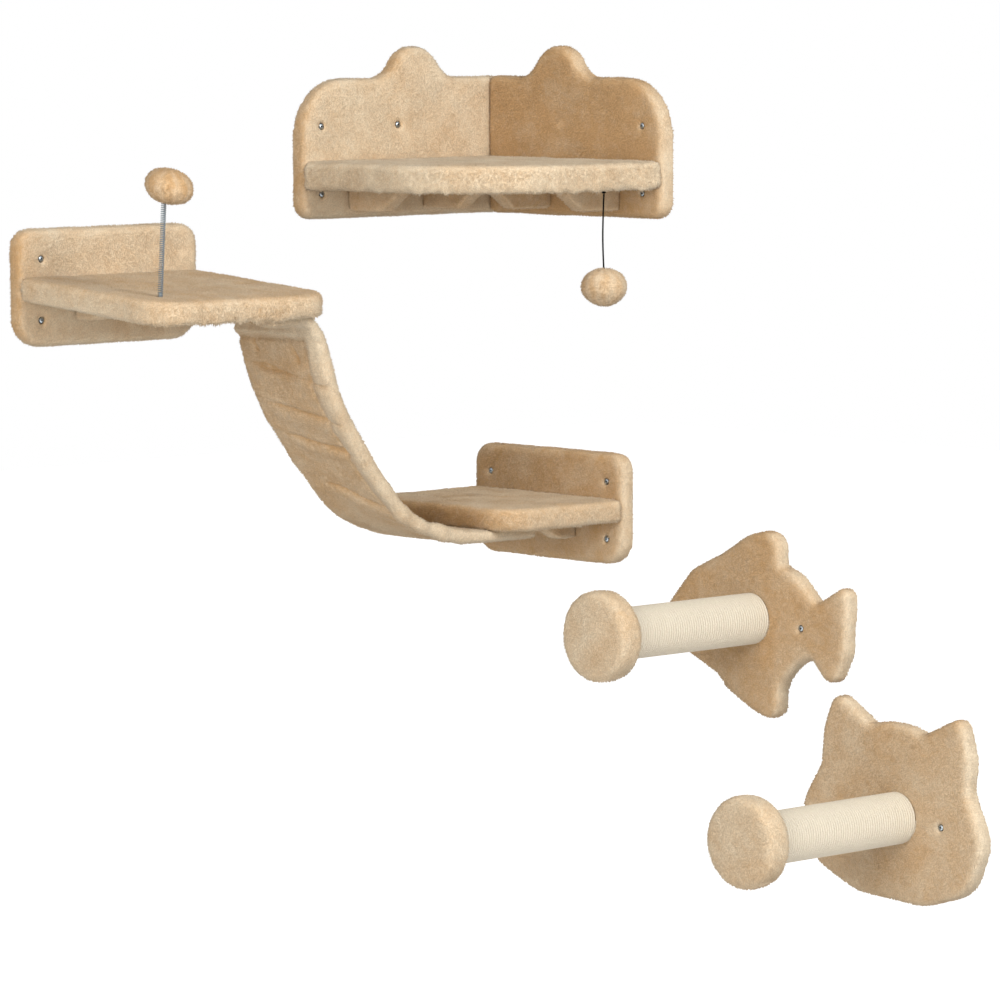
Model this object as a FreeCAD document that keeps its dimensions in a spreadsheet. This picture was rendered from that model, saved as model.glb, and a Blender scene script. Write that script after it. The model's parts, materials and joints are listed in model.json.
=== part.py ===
import FreeCAD, Part
import Sketcher
import math
import os

# Wall mounted cat tree for one room corner: corner perch, upper shelf, bridge, lower shelf and two
# post steps. Millimetres. Z is up, the corner line of the room is X = 0, Y = 0, the left wall is the
# plane X = 0 and the right wall is the plane Y = 0.

SIZES = [
    ("board_thick", 18, "thickness of every wooden board"),
    ("plush_thick", 6, "plush on a board face or edge"),
    ("edge_round", 9, "rounding of a plush edge"),
    ("fit_gap", 0.3, "air between two curved faces"),
    ("perch_reach", 368, "corner perch, wall length from the corner"),
    ("perch_height", 189, "height of the flat top of a back board"),
    ("crown_height", 232, "height of the raised crown"),
    ("crown_at", 157.5, "crown centre from the corner"),
    ("crown_foot", 55, "half width of the crown at its foot"),
    ("crown_top", 22, "half width of the crown at its top"),
    ("crown_foot_round", 45, "hollow corner at the foot of the crown"),
    ("crown_top_round", 42, "rounding of the crown's top"),
    ("perch_top_round", 78, "outer top corner of a back board"),
    ("perch_low_round", 20, "outer bottom corner of a back board"),
    ("perch_top", 77, "top of the perch plush above the origin"),
    ("perch_board", 24, "thickness of the perch board"),
    ("perch_round", 170, "front corner of the perch"),
    ("perch_left_inset", 34, "outer wall screws from the free end, left board"),
    ("perch_right_inset", 39, "outer wall screws from the free end, right board"),
    ("perch_left_row", 140, "spacing of the left wall screws along the wall"),
    ("perch_right_row", 158, "spacing of the right wall screws along the wall"),
    ("perch_screw_top", 125, "height of the upper wall screws"),
    ("perch_screw_drop", 92, "spacing of the wall screws in height"),
    ("perch_bracket_near", 138, "inner bracket from the corner"),
    ("perch_bracket_far", 276, "outer bracket from the corner"),
    ("perch_joint_near", 78, "inner screw into the perch board from the corner"),
    ("perch_joint_middle", 204, "middle screw into the perch board from the corner"),
    ("perch_joint_inset", 42, "outer screw into the perch board from the free end"),
    ("perch_bracket_reach", 100, "bracket depth under the perch"),
    ("perch_bracket_low", 9, "height of the bracket bottom"),
    ("bracket_plush", 3, "plush on each side of a bracket"),
    ("plate_width", 300, "shelf wall plate width"),
    ("plate_height", 152, "shelf wall plate height"),
    ("plate_top_round", 25, "top corners of a wall plate"),
    ("plate_low_round", 38, "bottom corners of a wall plate"),
    ("plate_screw_row", 235, "wall screws of a plate, sideways"),
    ("plate_screw_drop", 80, "wall screws of a plate, in height"),
    ("shelf_round", 52, "front corners of a shelf"),
    ("upper_along", -706.5, "upper plate centre on the left wall, Y"),
    ("upper_screw_shift", 4, "wall screws of the upper plate from its centre, Y"),
    ("upper_plate_top", 0, "top of the upper plate"),
    ("upper_shelf_drop", 62, "shelf top under the plate top"),
    ("upper_depth", 285, "upper shelf depth from the plate"),
    ("upper_droop", 4.3, "degrees the upper shelf slopes down"),
    ("lower_along", 141, "lower plate centre on the right wall, X"),
    ("lower_screw_shift", 0, "wall screws of the lower plate from its centre, X"),
    ("lower_plate_top", -329, "top of the lower plate"),
    ("lower_depth", 213, "lower shelf depth from the plate"),
    ("shelf_bracket_side", 47, "shelf bracket from the plate centre"),
    ("bracket_nose", 32, "slanting part of a perch bracket"),
    ("shelf_bracket_reach", 70, "shelf bracket depth"),
    ("shelf_bracket_tall", 27, "shelf bracket height"),
    ("upper_edge_screw", 62, "bridge screws from the side of the upper shelf"),
    ("lower_edge_screw", 160, "bridge screws from the lower wall board"),
    ("bridge_near", 106, "bridge side nearer the left wall, X"),
    ("bridge_width", 169, "bridge width"),
    ("bridge_thick", 14, "bridge thickness"),
    ("bridge_lap", 34, "end of the flat part in from the upper shelf's side"),
    ("bridge_screw_inset", 30, "bridge screws in from the sides of the bridge"),
    ("bridge_grip", 48, "flat end of the bridge under the upper shelf, along Y"),
    ("bridge_tail", 82, "flat end of the bridge under the lower shelf, along Y"),
    ("post_radius", 35, "outside radius of the sisal"),
    ("sisal_thick", 5, "sisal winding"),
    ("tube_wall", 5, "wall of the post tube"),
    ("post_length", 262, "post between wall board and end disc"),
    ("disc_radius", 59.5, "plush end disc radius"),
    ("disc_board", 24, "board of an end disc"),
    ("fish_along", 540.5, "fish step post axis, X"),
    ("fish_height", -533, "fish step post axis, Z"),
    ("fish_drop", -4, "fish outline centre from the post axis"),
    ("fish_screw_side", 90, "fish wall screws from the post axis"),
    ("head_along", 807.5, "cat head step post axis, X"),
    ("head_height", -773.5, "cat head step post axis, Z"),
    ("head_offset", -13, "head outline centre from the post axis"),
    ("head_tilt", 3.5, "degrees the head outline leans right"),
    ("head_screw_side", 75.5, "head wall screws from the post axis"),
    ("screw_radius", 2.5, "wall screw thread, outside the board"),
    ("screw_neck", 1.9, "plain neck of a wall screw, inside the board"),
    ("screw_head", 4.4, "wall screw head radius"),
    ("screw_head_tall", 4.6, "wall screw head height"),
    ("screw_out", 28, "wall screw standing out of the back"),
    ("frame_screw_radius", 2, "frame screw shank"),
    ("frame_screw_head", 4, "frame screw head radius"),
    ("frame_screw_long", 50, "frame screw length under the head"),
    ("mat_screw_long", 32, "bridge screw length under the head"),
    ("bolt_radius", 4, "post bolt shank"),
    ("bolt_head", 7.5, "post bolt head radius"),
    ("bolt_head_tall", 4, "post bolt head height"),
    ("plug_long", 42, "wooden plug in each end of a post"),
    ("spring_out", 232, "spring toy from the plate along the shelf"),
    ("spring_inset", 46, "spring toy from the side of the shelf"),
    ("spring_pin_radius", 2.1, "pin inside the foot of the spring"),
    ("coil_radius", 3.05, "spring coil radius to the wire centre"),
    ("wire_radius", 0.6, "spring wire radius"),
    ("coil_pitch", 2.4, "spring pitch"),
    ("ball_side_out", 12, "middle of a ball's side arc from its axis"),
    ("ball_radius", 30.5, "toy ball radius"),
    ("spring_ball_half", 22, "spring toy ball half height"),
    ("spring_ball_lean", 17, "degrees the spring toy ball leans"),
    ("spring_ball_shift", 6, "spring toy ball centre from the spring, sideways"),
    ("hang_ball_half", 25.5, "hanging toy ball half height"),
    ("ball_plush", 5, "plush on a toy ball"),
    ("cord_radius", 1.15, "toy cord radius"),
    ("cord_drop", 107, "toy cord length below the knot"),
    ("cord_sink", 7, "cord end below the top of its ball"),
    ("hang_inset", 33.5, "hanging toy from the free end of the perch"),
    ("hang_out", 100, "hanging toy from the right wall"),
    ("knot_radius", 3.2, "cord knot radius"),
]

doc = FreeCAD.newDocument("wall_cat_tree")
sheet = doc.addObject("Spreadsheet::Sheet", "Sizes")
for row, (alias, value, note) in enumerate(SIZES, start=1):
    sheet.set("A%d" % row, alias)
    sheet.set("B%d" % row, str(value))
    sheet.setAlias("B%d" % row, alias)
    sheet.set("C%d" % row, note)
doc.recompute()

Vec = FreeCAD.Vector
UPRIGHT = FreeCAD.Rotation()
ON_LEFT = FreeCAD.Rotation(Vec(1, 1, 1), 120)
ON_RIGHT = FreeCAD.Rotation(Vec(1, 0, 0), 90)
nodes = []


def size(alias):
    return float(sheet.get(alias))


def keep(obj, label):
    obj.Label = label
    nodes.append(obj)
    return obj


# ---------------------------------------------------------------- outlines
# An outline is a list of (x, y, corner radius), anticlockwise.

def unit(dx, dy):
    length = math.hypot(dx, dy)
    return dx / length, dy / length


def inset(outline, distance):
    count = len(outline)
    moved = []
    for i in range(count):
        x, y, radius = outline[i]
        ax, ay = unit(x - outline[i - 1][0], y - outline[i - 1][1])
        bx, by = unit(outline[(i + 1) % count][0] - x, outline[(i + 1) % count][1] - y)
        turn = ax * by - ay * bx
        scale = distance / (1 + ax * bx + ay * by)
        nx, ny = -(ay + by) * scale, (ax + bx) * scale
        grown = radius - distance if turn > 0 else radius + distance
        moved.append((x + nx, y + ny, max(grown, 0) if radius > 0 else 0))
    return moved


def edges_of(outline):
    count = len(outline)
    corners = []
    for i in range(count):
        x, y, radius = outline[i]
        ax, ay = unit(outline[i - 1][0] - x, outline[i - 1][1] - y)
        bx, by = unit(outline[(i + 1) % count][0] - x, outline[(i + 1) % count][1] - y)
        half = math.acos(max(-1, min(1, ax * bx + ay * by))) / 2
        if radius <= 0 or abs(half - math.pi / 2) < 1e-4:
            corners.append((Vec(x, y, 0), None, Vec(x, y, 0)))
            continue
        cut = radius / math.tan(half)
        mx, my = unit(ax + bx, ay + by)
        reach = radius / math.sin(half) - radius
        corners.append((Vec(x + ax * cut, y + ay * cut, 0), Vec(x + mx * reach, y + my * reach, 0),
                        Vec(x + bx * cut, y + by * cut, 0)))
    edges = []
    for i in range(count):
        start = corners[i - 1][2]
        end = corners[i][0]
        if start.distanceToPoint(end) > 1e-6:
            edges.append(Part.LineSegment(start, end))
        if corners[i][1] is not None:
            edges.append(Part.Arc(*corners[i]))
    return edges


def shifted(outline, dx, dy):
    return [(x + dx, y + dy, radius) for x, y, radius in outline]


def turned(outline, degrees):
    c, s = math.cos(math.radians(degrees)), math.sin(math.radians(degrees))
    return [(x * c - y * s, x * s + y * c, radius) for x, y, radius in outline]


def mirrored(half):
    # half runs anticlockwise along the +x side; the other side is its mirror image
    return half + [(-x, y, radius) for x, y, radius in reversed(half)]


# ---------------------------------------------------------------- bodies

def plane_of(body, role):
    return [item for item in body.Origin.OriginFeatures if item.Role == role][0]


def sketch(body, edges, role="XY_Plane", lift=None):
    drawing = body.newObject("Sketcher::SketchObject", "Outline")
    drawing.AttachmentSupport = (plane_of(body, role), [""])
    drawing.MapMode = "FlatFace"
    if lift:
        drawing.setExpression("AttachmentOffset.Base.z", lift)
    for index, edge in enumerate(edges):
        drawing.addGeometry(edge, False)
        drawing.addConstraint(Sketcher.Constraint("Block", index))
    return drawing


def bound(feature, **expressions):
    for name, expression in expressions.items():
        feature.setExpression(name, "Sizes." + expression if expression.isidentifier() else expression)
    return feature


def pad(body, drawing, length):
    feature = body.newObject("PartDesign::Pad", "Pad")
    feature.Profile = drawing
    bound(feature, Length=length)
    return feature


def pocket(body, drawing, length, reverse=True):
    doc.recompute()
    before = body.Shape.Volume
    feature = body.newObject("PartDesign::Pocket", "Pocket")
    feature.Profile = drawing
    feature.Reversed = reverse
    bound(feature, Length=length)
    doc.recompute()
    if before - body.Shape.Volume < 1:
        raise ValueError("pocket in %s removes nothing" % body.Label)
    return feature


def round_edges(body, radius, wanted):
    doc.recompute()
    last = body.Tip
    names = ["Edge%d" % (i + 1) for i, edge in enumerate(last.Shape.Edges) if wanted(edge)]
    feature = body.newObject("PartDesign::Fillet", "Rounding")
    feature.Base = (last, names)
    bound(feature, Radius=radius)
    doc.recompute()
    return feature


def new_body(name, place, turn):
    body = doc.addObject("PartDesign::Body", name)
    body.Placement = FreeCAD.Placement(place, turn)
    return body


def flat_at(height):
    return lambda edge: all(abs(v.Z - height) < 1e-4 for v in edge.Vertexes)


def tool_group(name, tools):
    group = doc.addObject("Part::Compound", name)
    group.Links = tools
    return group


def cut(label, base, tools):
    doc.recompute()
    before = base.Shape.Volume
    feature = doc.addObject("Part::Cut", label)
    feature.Base = base
    feature.Tool = tool_group(label + "_bores", tools)
    doc.recompute()
    if before - feature.Shape.Volume < 1:
        raise ValueError("bores in %s remove nothing" % label)
    return keep(feature, label)


def rod(name, place, turn, radius, length, back=0):
    # a cylinder along the local Z of turn, starting back behind the place
    item = doc.addObject("Part::Cylinder", name)
    bound(item, Radius=radius, Height=length)
    item.Placement = FreeCAD.Placement(place + turn.multVec(Vec(0, 0, -back)), turn)
    return item


def group(label, items):
    return keep(tool_group(label, items), label)


# ---------------------------------------------------------------- plush covered boards

def rounds(height, square):
    def wanted(edge):
        if not any(flat_at(level)(edge) for level in height):
            return False
        return not any(all(abs(v.Point[axis] - value) < 1e-4 for v in edge.Vertexes)
                       for axis, value in square)
    return wanted


def wall_board(name, outline, place, turn, square=()):
    # board and cover of a piece screwed flat on a wall; the back of both lies on the wall
    plush = size("plush_thick")
    core = inset(outline, plush)
    room = inset(outline, plush - size("fit_gap"))
    board = new_body(name + "_board_blank", place, turn)
    pad(board, sketch(board, edges_of(core)), "board_thick")
    cover = new_body(name + "_cover_blank", place, turn)
    pad(cover, sketch(cover, edges_of(outline)), "Sizes.board_thick + Sizes.plush_thick")
    round_edges(cover, "edge_round", rounds([size("board_thick") + plush], square))
    pocket(cover, sketch(cover, edges_of(room)), "board_thick")
    return board, cover


def shelf(name, outline, core, room, place, turn, thick, square):
    # board with plush over top, underside and free edges; open where it meets the wall board
    board = new_body(name + "_board_blank", place, turn)
    pad(board, sketch(board, edges_of(core), lift="Sizes.plush_thick"), thick)
    cover = new_body(name + "_cover_blank", place, turn)
    pad(cover, sketch(cover, edges_of(outline)), "Sizes.%s + 2 * Sizes.plush_thick" % thick)
    total = size(thick) + 2 * size("plush_thick")
    round_edges(cover, "edge_round", rounds([0, total], square))
    pocket(cover, sketch(cover, edges_of(room), lift="Sizes.plush_thick"), thick)
    return board, cover


def plate_outline():
    half, tall = size("plate_width") / 2, size("plate_height")
    top, low = size("plate_top_round"), size("plate_low_round")
    return [(-half, -tall, low), (half, -tall, low), (half, 0, top), (-half, 0, top)]


def shelf_plan(depth, margin, behind=0):
    half = size("plate_width") / 2 - margin
    radius = size("shelf_round") - margin
    return [(-behind, -half, 0), (depth - margin, -half, radius),
            (depth - margin, half, radius), (-behind, half, 0)]


def box(name, low, high):
    item = doc.addObject("Part::Box", name)
    item.Length, item.Width, item.Height = [high[i] - low[i] for i in range(3)]
    item.Placement = FreeCAD.Placement(Vec(*low), UPRIGHT)
    return item


# ---------------------------------------------------------------- fasteners

def screw(name, profile, cross):
    body = new_body(name, Vec(0, 0, 0), UPRIGHT)
    lines = [Part.LineSegment(Vec(*a, 0), Vec(*b, 0)) for a, b in zip(profile, profile[1:] + profile[:1])]
    drawing = sketch(body, lines, "XZ_Plane")
    turned_part = body.newObject("PartDesign::Revolution", "Turned")
    turned_part.Profile = drawing
    turned_part.ReferenceAxis = (drawing, ["V_Axis"])
    turned_part.Angle = 360
    if cross:
        wide, narrow = cross
        square = [(-wide, -narrow), (-narrow, -narrow), (-narrow, -wide), (narrow, -wide),
                  (narrow, -narrow), (wide, -narrow), (wide, narrow), (narrow, narrow),
                  (narrow, wide), (-narrow, wide), (-narrow, narrow), (-wide, narrow)]
        top = max(point[1] for point in profile)
        lines = [Part.LineSegment(Vec(*a, 0), Vec(*b, 0)) for a, b in zip(square, square[1:] + square[:1])]
        slot = sketch(body, lines)
        slot.AttachmentOffset = FreeCAD.Placement(Vec(0, 0, top), UPRIGHT)
        pocket(body, slot, "Sizes.screw_head_tall * 0.55", reverse=False)
    doc.recompute()
    return body


def copies(label, master, places):
    # one node holding a separate solid of the same piece at each place
    links = []
    for index, (place, turn) in enumerate(places):
        link = doc.addObject("App::Link", "%s_%d" % (label, index + 1))
        link.LinkedObject = master
        link.Placement = FreeCAD.Placement(place, turn)
        links.append(link)
    return group(label, links)


head, tall, shank = size("screw_head"), size("screw_head_tall"), size("screw_radius")
neck, neck_end = size("screw_neck"), -size("board_thick")
wall_under = size("board_thick") + size("screw_out")
wall_screw = screw("wall_screw", [(0, -wall_under), (shank * 0.4, -wall_under), (shank, -wall_under + 5),
                                  (shank, neck_end), (neck, neck_end), (neck, 0), (head, 0),
                                  (head, tall * 0.45), (head * 0.78, tall * 0.86),
                                  (head * 0.45, tall), (0, tall)], (2.1, 0.55))
slim, cap = size("frame_screw_radius"), size("frame_screw_head")


def flat_screw(name, long):
    return screw(name, [(0, -long), (slim * 0.4, -long), (slim, 5 - long), (slim, 0), (cap, 0), (cap, 2.5),
                        (0, 2.5)], None)


frame_screw = flat_screw("frame_screw", size("frame_screw_long"))
mat_screw = flat_screw("mat_screw", size("mat_screw_long"))
bolt, bolt_cap = size("bolt_radius"), size("bolt_head")
bolt_under = size("board_thick") - size("bolt_head_tall") + size("plush_thick") + size("plug_long") - 6
post_bolt = screw("post_bolt", [(0, -bolt_under), (bolt - 1, -bolt_under), (bolt, 1 - bolt_under),
                                (bolt, 0), (bolt_cap, 0), (bolt_cap, size("bolt_head_tall")),
                                (0, size("bolt_head_tall"))], None)

EAST = FreeCAD.Rotation(Vec(0, 1, 0), 90)
WEST = FreeCAD.Rotation(Vec(0, 1, 0), -90)
SOUTH = FreeCAD.Rotation(Vec(1, 0, 0), 90)
NORTH = FreeCAD.Rotation(Vec(1, 0, 0), -90)


def rods(name, places, radius, length, back=0):
    return [rod("%s_%d" % (name, i + 1), place, turn, radius, length, back)
            for i, (place, turn) in enumerate(places)]


def dress(name, board, cover, wall_spots, frame_spots, into):
    # bores the wall board and its cover, then adds both screw groups
    # into: direction a wall screw head faces, away from the wall
    board_bores = rods(name + "_wall_bore", wall_spots, "Sizes.screw_radius + Sizes.fit_gap",
                       "Sizes.board_thick + 40", 20)
    cover_bores = rods(name + "_head_bore", wall_spots, "Sizes.screw_head + Sizes.fit_gap",
                       "Sizes.board_thick + 40", 20)
    frame_bores = rods(name + "_frame_bore", frame_spots, "Sizes.frame_screw_radius + Sizes.fit_gap",
                       "Sizes.frame_screw_long + 10", 0)
    head_bores = rods(name + "_sink", frame_spots, "Sizes.frame_screw_head + Sizes.fit_gap", "5", 1)
    cut(name + "_board", board, board_bores + frame_bores + head_bores)
    cut(name + "_cover", cover, cover_bores + frame_bores)
    front = into.multVec(Vec(0, 0, size("board_thick")))
    copies(name + "_screws", wall_screw, [(place + front, into) for place, turn in wall_spots])
    return frame_bores


def sunk(places, turn):
    # frame screws: the head faces the wall, its flat underside 4 mm inside the board
    flip = turn.multiply(FreeCAD.Rotation(Vec(1, 0, 0), 180))
    inside = turn.multVec(Vec(0, 0, 4))
    return [(place + inside, flip) for place, _ in places]


# ---------------------------------------------------------------- corner perch

def back_outline(start, side):
    reach, tall, crown = size("perch_reach"), size("perch_height"), size("crown_height")
    at, foot, top = size("crown_at"), size("crown_foot"), size("crown_top")
    low, high = size("crown_foot_round"), size("crown_top_round")
    half = [(start, 0, 0), (reach, 0, size("perch_low_round")), (reach, tall, size("perch_top_round")),
            (at + foot, tall, low), (at + top, crown, high), (at - top, crown, high), (at - foot, tall, low),
            (start, tall, 0)]
    if side > 0:
        return half
    return [(-x, y, radius) for x, y, radius in reversed(half)]


def perch_spots(side):
    spots = []
    hand = "right" if side > 0 else "left"
    far, row = size("perch_reach") - size("perch_%s_inset" % hand), size("perch_%s_row" % hand)
    top, drop = size("perch_screw_top"), size("perch_screw_drop")
    for along in (far, far - row):
        for height in (top, top - drop):
            spots.append((Vec(along, 0, height), SOUTH) if side > 0 else (Vec(0, -along, height), EAST))
    return spots


front = size("board_thick") + size("plush_thick")
perch_under = size("perch_top") - size("perch_board") - 2 * size("plush_thick")
bracket_screw_height = (perch_under + size("perch_bracket_low")) / 2 + 3
perch_screw_height = size("perch_top") - size("plush_thick") - size("perch_board") / 2
near, far = size("perch_bracket_near"), size("perch_bracket_far")
joints = (size("perch_joint_near"), size("perch_joint_middle"), size("perch_reach") - size("perch_joint_inset"))

left_frame = [(Vec(0, -s, bracket_screw_height), EAST) for s in (near, far)]
left_frame += [(Vec(0, -s, perch_screw_height), EAST) for s in joints]
right_frame = [(Vec(s, 0, bracket_screw_height), SOUTH) for s in (near, far)]
right_frame += [(Vec(s, 0, perch_screw_height), SOUTH) for s in joints]

left_board, left_cover = wall_board("perch_left", back_outline(0, -1), Vec(0, 0, 0), ON_LEFT, [(0, 0)])
left_bores = dress("perch_left", left_board, left_cover, perch_spots(-1), left_frame, EAST)
right_board, right_cover = wall_board("perch_right", back_outline(front, 1), Vec(0, 0, 0), ON_RIGHT,
                                      [(0, front)])
right_bores = dress("perch_right", right_board, right_cover, perch_spots(1), right_frame, SOUTH)

reach, plush, gap = size("perch_reach"), size("plush_thick"), size("fit_gap")
bend = size("perch_round")
edge = reach - plush
perch_plan = [(front, -front, 0), (front, -reach, 0), (reach, -reach, bend), (reach, -front, 0)]
perch_core = [(front, -front, 0), (front, -edge, 0), (edge, -edge, bend - plush), (edge, -front, 0)]
perch_room = [(front - 5, 5 - front, 0), (front - 5, -edge - gap, 0),
              (edge + gap, -edge - gap, bend - plush + gap), (edge + gap, 5 - front, 0)]
perch_board, perch_cover = shelf("perch_shelf", perch_plan, perch_core, perch_room, Vec(0, 0, perch_under),
                                 UPRIGHT, "perch_board", [(0, front), (1, -front)])

cord_spot = Vec(reach - size("hang_inset"), -size("hang_out"), 0)
tack_bore = rod("tack_bore", cord_spot + Vec(0, 0, perch_under - 1), UPRIGHT,
                "Sizes.cord_radius + Sizes.fit_gap", "Sizes.plush_thick + 13")
cut("perch_shelf_board", perch_board, left_bores + right_bores + [tack_bore])
cut("perch_shelf_cover", perch_cover, [tack_bore])


def bracket_profile(foot, reach, low, nose, slope):
    # local X out from the wall board, Y up from the shelf underside at the wall
    return [(0, low, 0), (foot, low, 6), (reach, -reach * slope - nose, 5), (reach, -reach * slope, 0),
            (0, 0, 0)]


def bracket(name, profile, place, turn):
    side = size("bracket_plush")
    inner = inset(profile, side)
    top_x, top_y = inner[3][0], profile[3][1] * inner[3][0] / profile[3][0]
    core = [(0, inner[0][1], 0), inner[1], inner[2], (top_x, top_y, 0), (0, 0, 0)]
    room = [(-1, inner[0][1], 0), inner[1], inner[2], (top_x, top_y + 1, 0), (-1, 1, 0)]
    board = new_body(name + "_core", place, turn)
    pad(board, sketch(board, edges_of(core)), "board_thick").Midplane = True
    cover = new_body(name + "_sleeve", place, turn)
    pad(cover, sketch(cover, edges_of(profile)), "Sizes.board_thick + 2 * Sizes.bracket_plush").Midplane = True
    half = size("board_thick") / 2 + side
    round_edges(cover, "Sizes.bracket_plush - 0.4",
                lambda edge: (flat_at(half)(edge) or flat_at(-half)(edge)) and not straight_back(edge, profile))
    pocket(cover, sketch(cover, edges_of(room)), "board_thick").Midplane = True
    doc.recompute()
    return board, cover


def straight_back(edge, profile):
    at_wall = all(abs(v.X) < 1e-4 for v in edge.Vertexes)
    at_top = all(abs(v.Y - profile[3][1] * v.X / profile[3][0]) < 1e-4 for v in edge.Vertexes)
    return at_wall or at_top


def brackets(name, profile, spots, bores):
    cores, sleeves = [], []
    for index, (place, turn) in enumerate(spots):
        core, sleeve = bracket("%s_%d" % (name, index + 1), profile, place, turn)
        cores.append(core)
        sleeves.append(sleeve)
    cut(name, tool_group(name + "_cores", cores), bores)
    group(name[:-1] + "_covers", sleeves)


# a bracket's local X points out from the wall, its local Y points up
OUT_LEFT = SOUTH
OUT_RIGHT = FreeCAD.Rotation(Vec(0, -1, 0), Vec(0, 0, 1), Vec(-1, 0, 0), "XYZ")

perch_profile = bracket_profile(size("perch_bracket_reach") - size("bracket_nose"), size("perch_bracket_reach"),
                                size("perch_bracket_low") - perch_under, 8, 0)
perch_spots_low = [(Vec(front, -s, perch_under), OUT_LEFT) for s in (near, far)]
perch_spots_low += [(Vec(s, -front, perch_under), OUT_RIGHT) for s in (near, far)]
brackets("perch_brackets", perch_profile, perch_spots_low, left_bores[:2] + right_bores[:2])


def frame_screws(label, left, right):
    copies(label, frame_screw, sunk(left, EAST) + sunk(right, SOUTH))


frame_screws("perch_frame_screws", left_frame, right_frame)


# ---------------------------------------------------------------- the two shelves

def plate_spots(centre, along, turn):
    spots = []
    for side in (-0.5, 0.5):
        for height in (0.5, -0.5):
            shift = along * (side * size("plate_screw_row")) + Vec(0, 0, height * size("plate_screw_drop"))
            spots.append((centre + shift, turn))
    return spots


def shelf_unit(name, centre, along, out, top, depth, turns, slope, board_bores, cover_bores):
    # centre: middle of the plate top edge on the wall plane
    turn_wall, turn_shelf, turn_screw, turn_side = turns
    middle = centre - Vec(0, 0, size("plate_height") / 2 + 2)
    under = top - size("board_thick") - 2 * plush
    shelf_mid = top - size("board_thick") / 2 - plush
    drop = math.tan(math.radians(slope))
    height = shelf_mid - drop * 12
    frame = [(Vec(centre.x, centre.y, 0) + along * s + Vec(0, 0, height), turn_screw)
             for s in (-110, 0, 110)]
    side = size("shelf_bracket_side")
    frame += [(Vec(centre.x, centre.y, 0) + along * s + Vec(0, 0, under - size("shelf_bracket_tall") / 2 - 1),
               turn_screw) for s in (-side, side)]
    board, cover = wall_board(name, plate_outline(), centre, turn_wall)
    spots = plate_spots(middle + along * size(name + "_screw_shift"), along, turn_screw)
    bores = dress(name, board, cover, spots, frame, turn_screw)
    lean = math.cos(math.radians(slope))
    total = size("board_thick") + 2 * plush
    pivot = Vec(centre.x, centre.y, top) + out * front
    place = pivot - turn_shelf.multVec(Vec(0, 0, total))
    flat, skin = shelf(name + "_shelf", shelf_plan(depth / lean, 0), shelf_plan(depth / lean, plush),
                       shelf_plan(depth / lean, plush - gap, 5), place, turn_shelf, "board_thick", [(0, 0)])
    extra = []
    if slope:
        wide, tall = size("plate_width"), size("plate_height")
        extra = [box(name + "_wall_side", (front - size("board_thick"), centre.y - wide, top - tall),
                     (front, centre.y + wide, top + tall))]
    cut(name + "_shelf_board", flat, bores[:3] + extra + board_bores)
    cut(name + "_shelf_cover", skin, extra + cover_bores)
    profile = bracket_profile(size("shelf_bracket_reach") * 0.45, size("shelf_bracket_reach"),
                              -size("shelf_bracket_tall"), 6, drop)
    start = Vec(centre.x, centre.y, under) + out * front
    if slope:
        start = start - Vec(0, 0, total / lean - total)
    brackets(name + "_brackets", profile, [(start + along * s, turn_side) for s in (-side, side)], bores[3:])
    copies(name + "_frame_screws", frame_screw, sunk(frame, turn_screw))
    return pivot


upper_top = size("upper_plate_top") - size("upper_shelf_drop")
upper_turn = FreeCAD.Rotation(Vec(0, 1, 0), size("upper_droop"))
upper_pivot = Vec(front, size("upper_along"), upper_top)
lower_top = size("lower_plate_top") - size("upper_shelf_drop")
lower_turn = FreeCAD.Rotation(Vec(0, 0, 1), -90)
shelf_total = size("board_thick") + 2 * plush


def on_upper(out, side, up):
    return upper_pivot + upper_turn.multVec(Vec(out, side, up))


# bridge screws go up through the mat into each shelf
bridge_mid = size("bridge_near") + size("bridge_width") / 2
screw_half = size("bridge_width") / 2 - size("bridge_screw_inset")
mat_low = -shelf_total - size("bridge_thick") - size("fit_gap")
edge_screw = size("plate_width") / 2 - size("upper_edge_screw")
upper_mat_spots = [(on_upper(bridge_mid - front + side, edge_screw, mat_low), upper_turn)
                   for side in (-screw_half, screw_half)]
lower_mat_spots = [(Vec(bridge_mid + side, -front - size("lower_edge_screw"), lower_top + mat_low), UPRIGHT)
                   for side in (-screw_half + 10, screw_half - 10)]


def mat_bores(name, spots):
    return rods(name, spots, "Sizes.frame_screw_radius + Sizes.fit_gap", "Sizes.mat_screw_long + 8", 5)


upper_mat_bores = mat_bores("upper_mat_bore", upper_mat_spots)
lower_mat_bores = mat_bores("lower_mat_bore", lower_mat_spots)
spring_side = size("spring_inset") - size("plate_width") / 2
spring_foot = (on_upper(size("spring_out"), spring_side, 0), upper_turn)
spring_pilot = rods("spring_pilot", [spring_foot], "Sizes.spring_pin_radius + Sizes.fit_gap", "30", 20)
spring_room = rods("spring_room", [spring_foot],
                   "Sizes.coil_radius + Sizes.wire_radius + Sizes.fit_gap", "26", 6)

shelf_unit("upper", Vec(0, size("upper_along"), size("upper_plate_top")), Vec(0, 1, 0), Vec(1, 0, 0),
           upper_top, size("upper_depth"), (ON_LEFT, upper_turn, EAST, OUT_LEFT), size("upper_droop"),
           upper_mat_bores + spring_pilot, upper_mat_bores + spring_room)
shelf_unit("lower", Vec(size("lower_along"), 0, size("lower_plate_top")), Vec(1, 0, 0), Vec(0, -1, 0),
           lower_top, size("lower_depth"), (ON_RIGHT, lower_turn, SOUTH, OUT_RIGHT), 0,
           lower_mat_bores, lower_mat_bores)


# ---------------------------------------------------------------- bridge

def mat_section(wide, tall):
    half, round_off = wide / 2, tall * 0.42
    return [(-half, -tall / 2, round_off), (half, -tall / 2, round_off),
            (half, tall / 2, round_off), (-half, tall / 2, round_off)]


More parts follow.
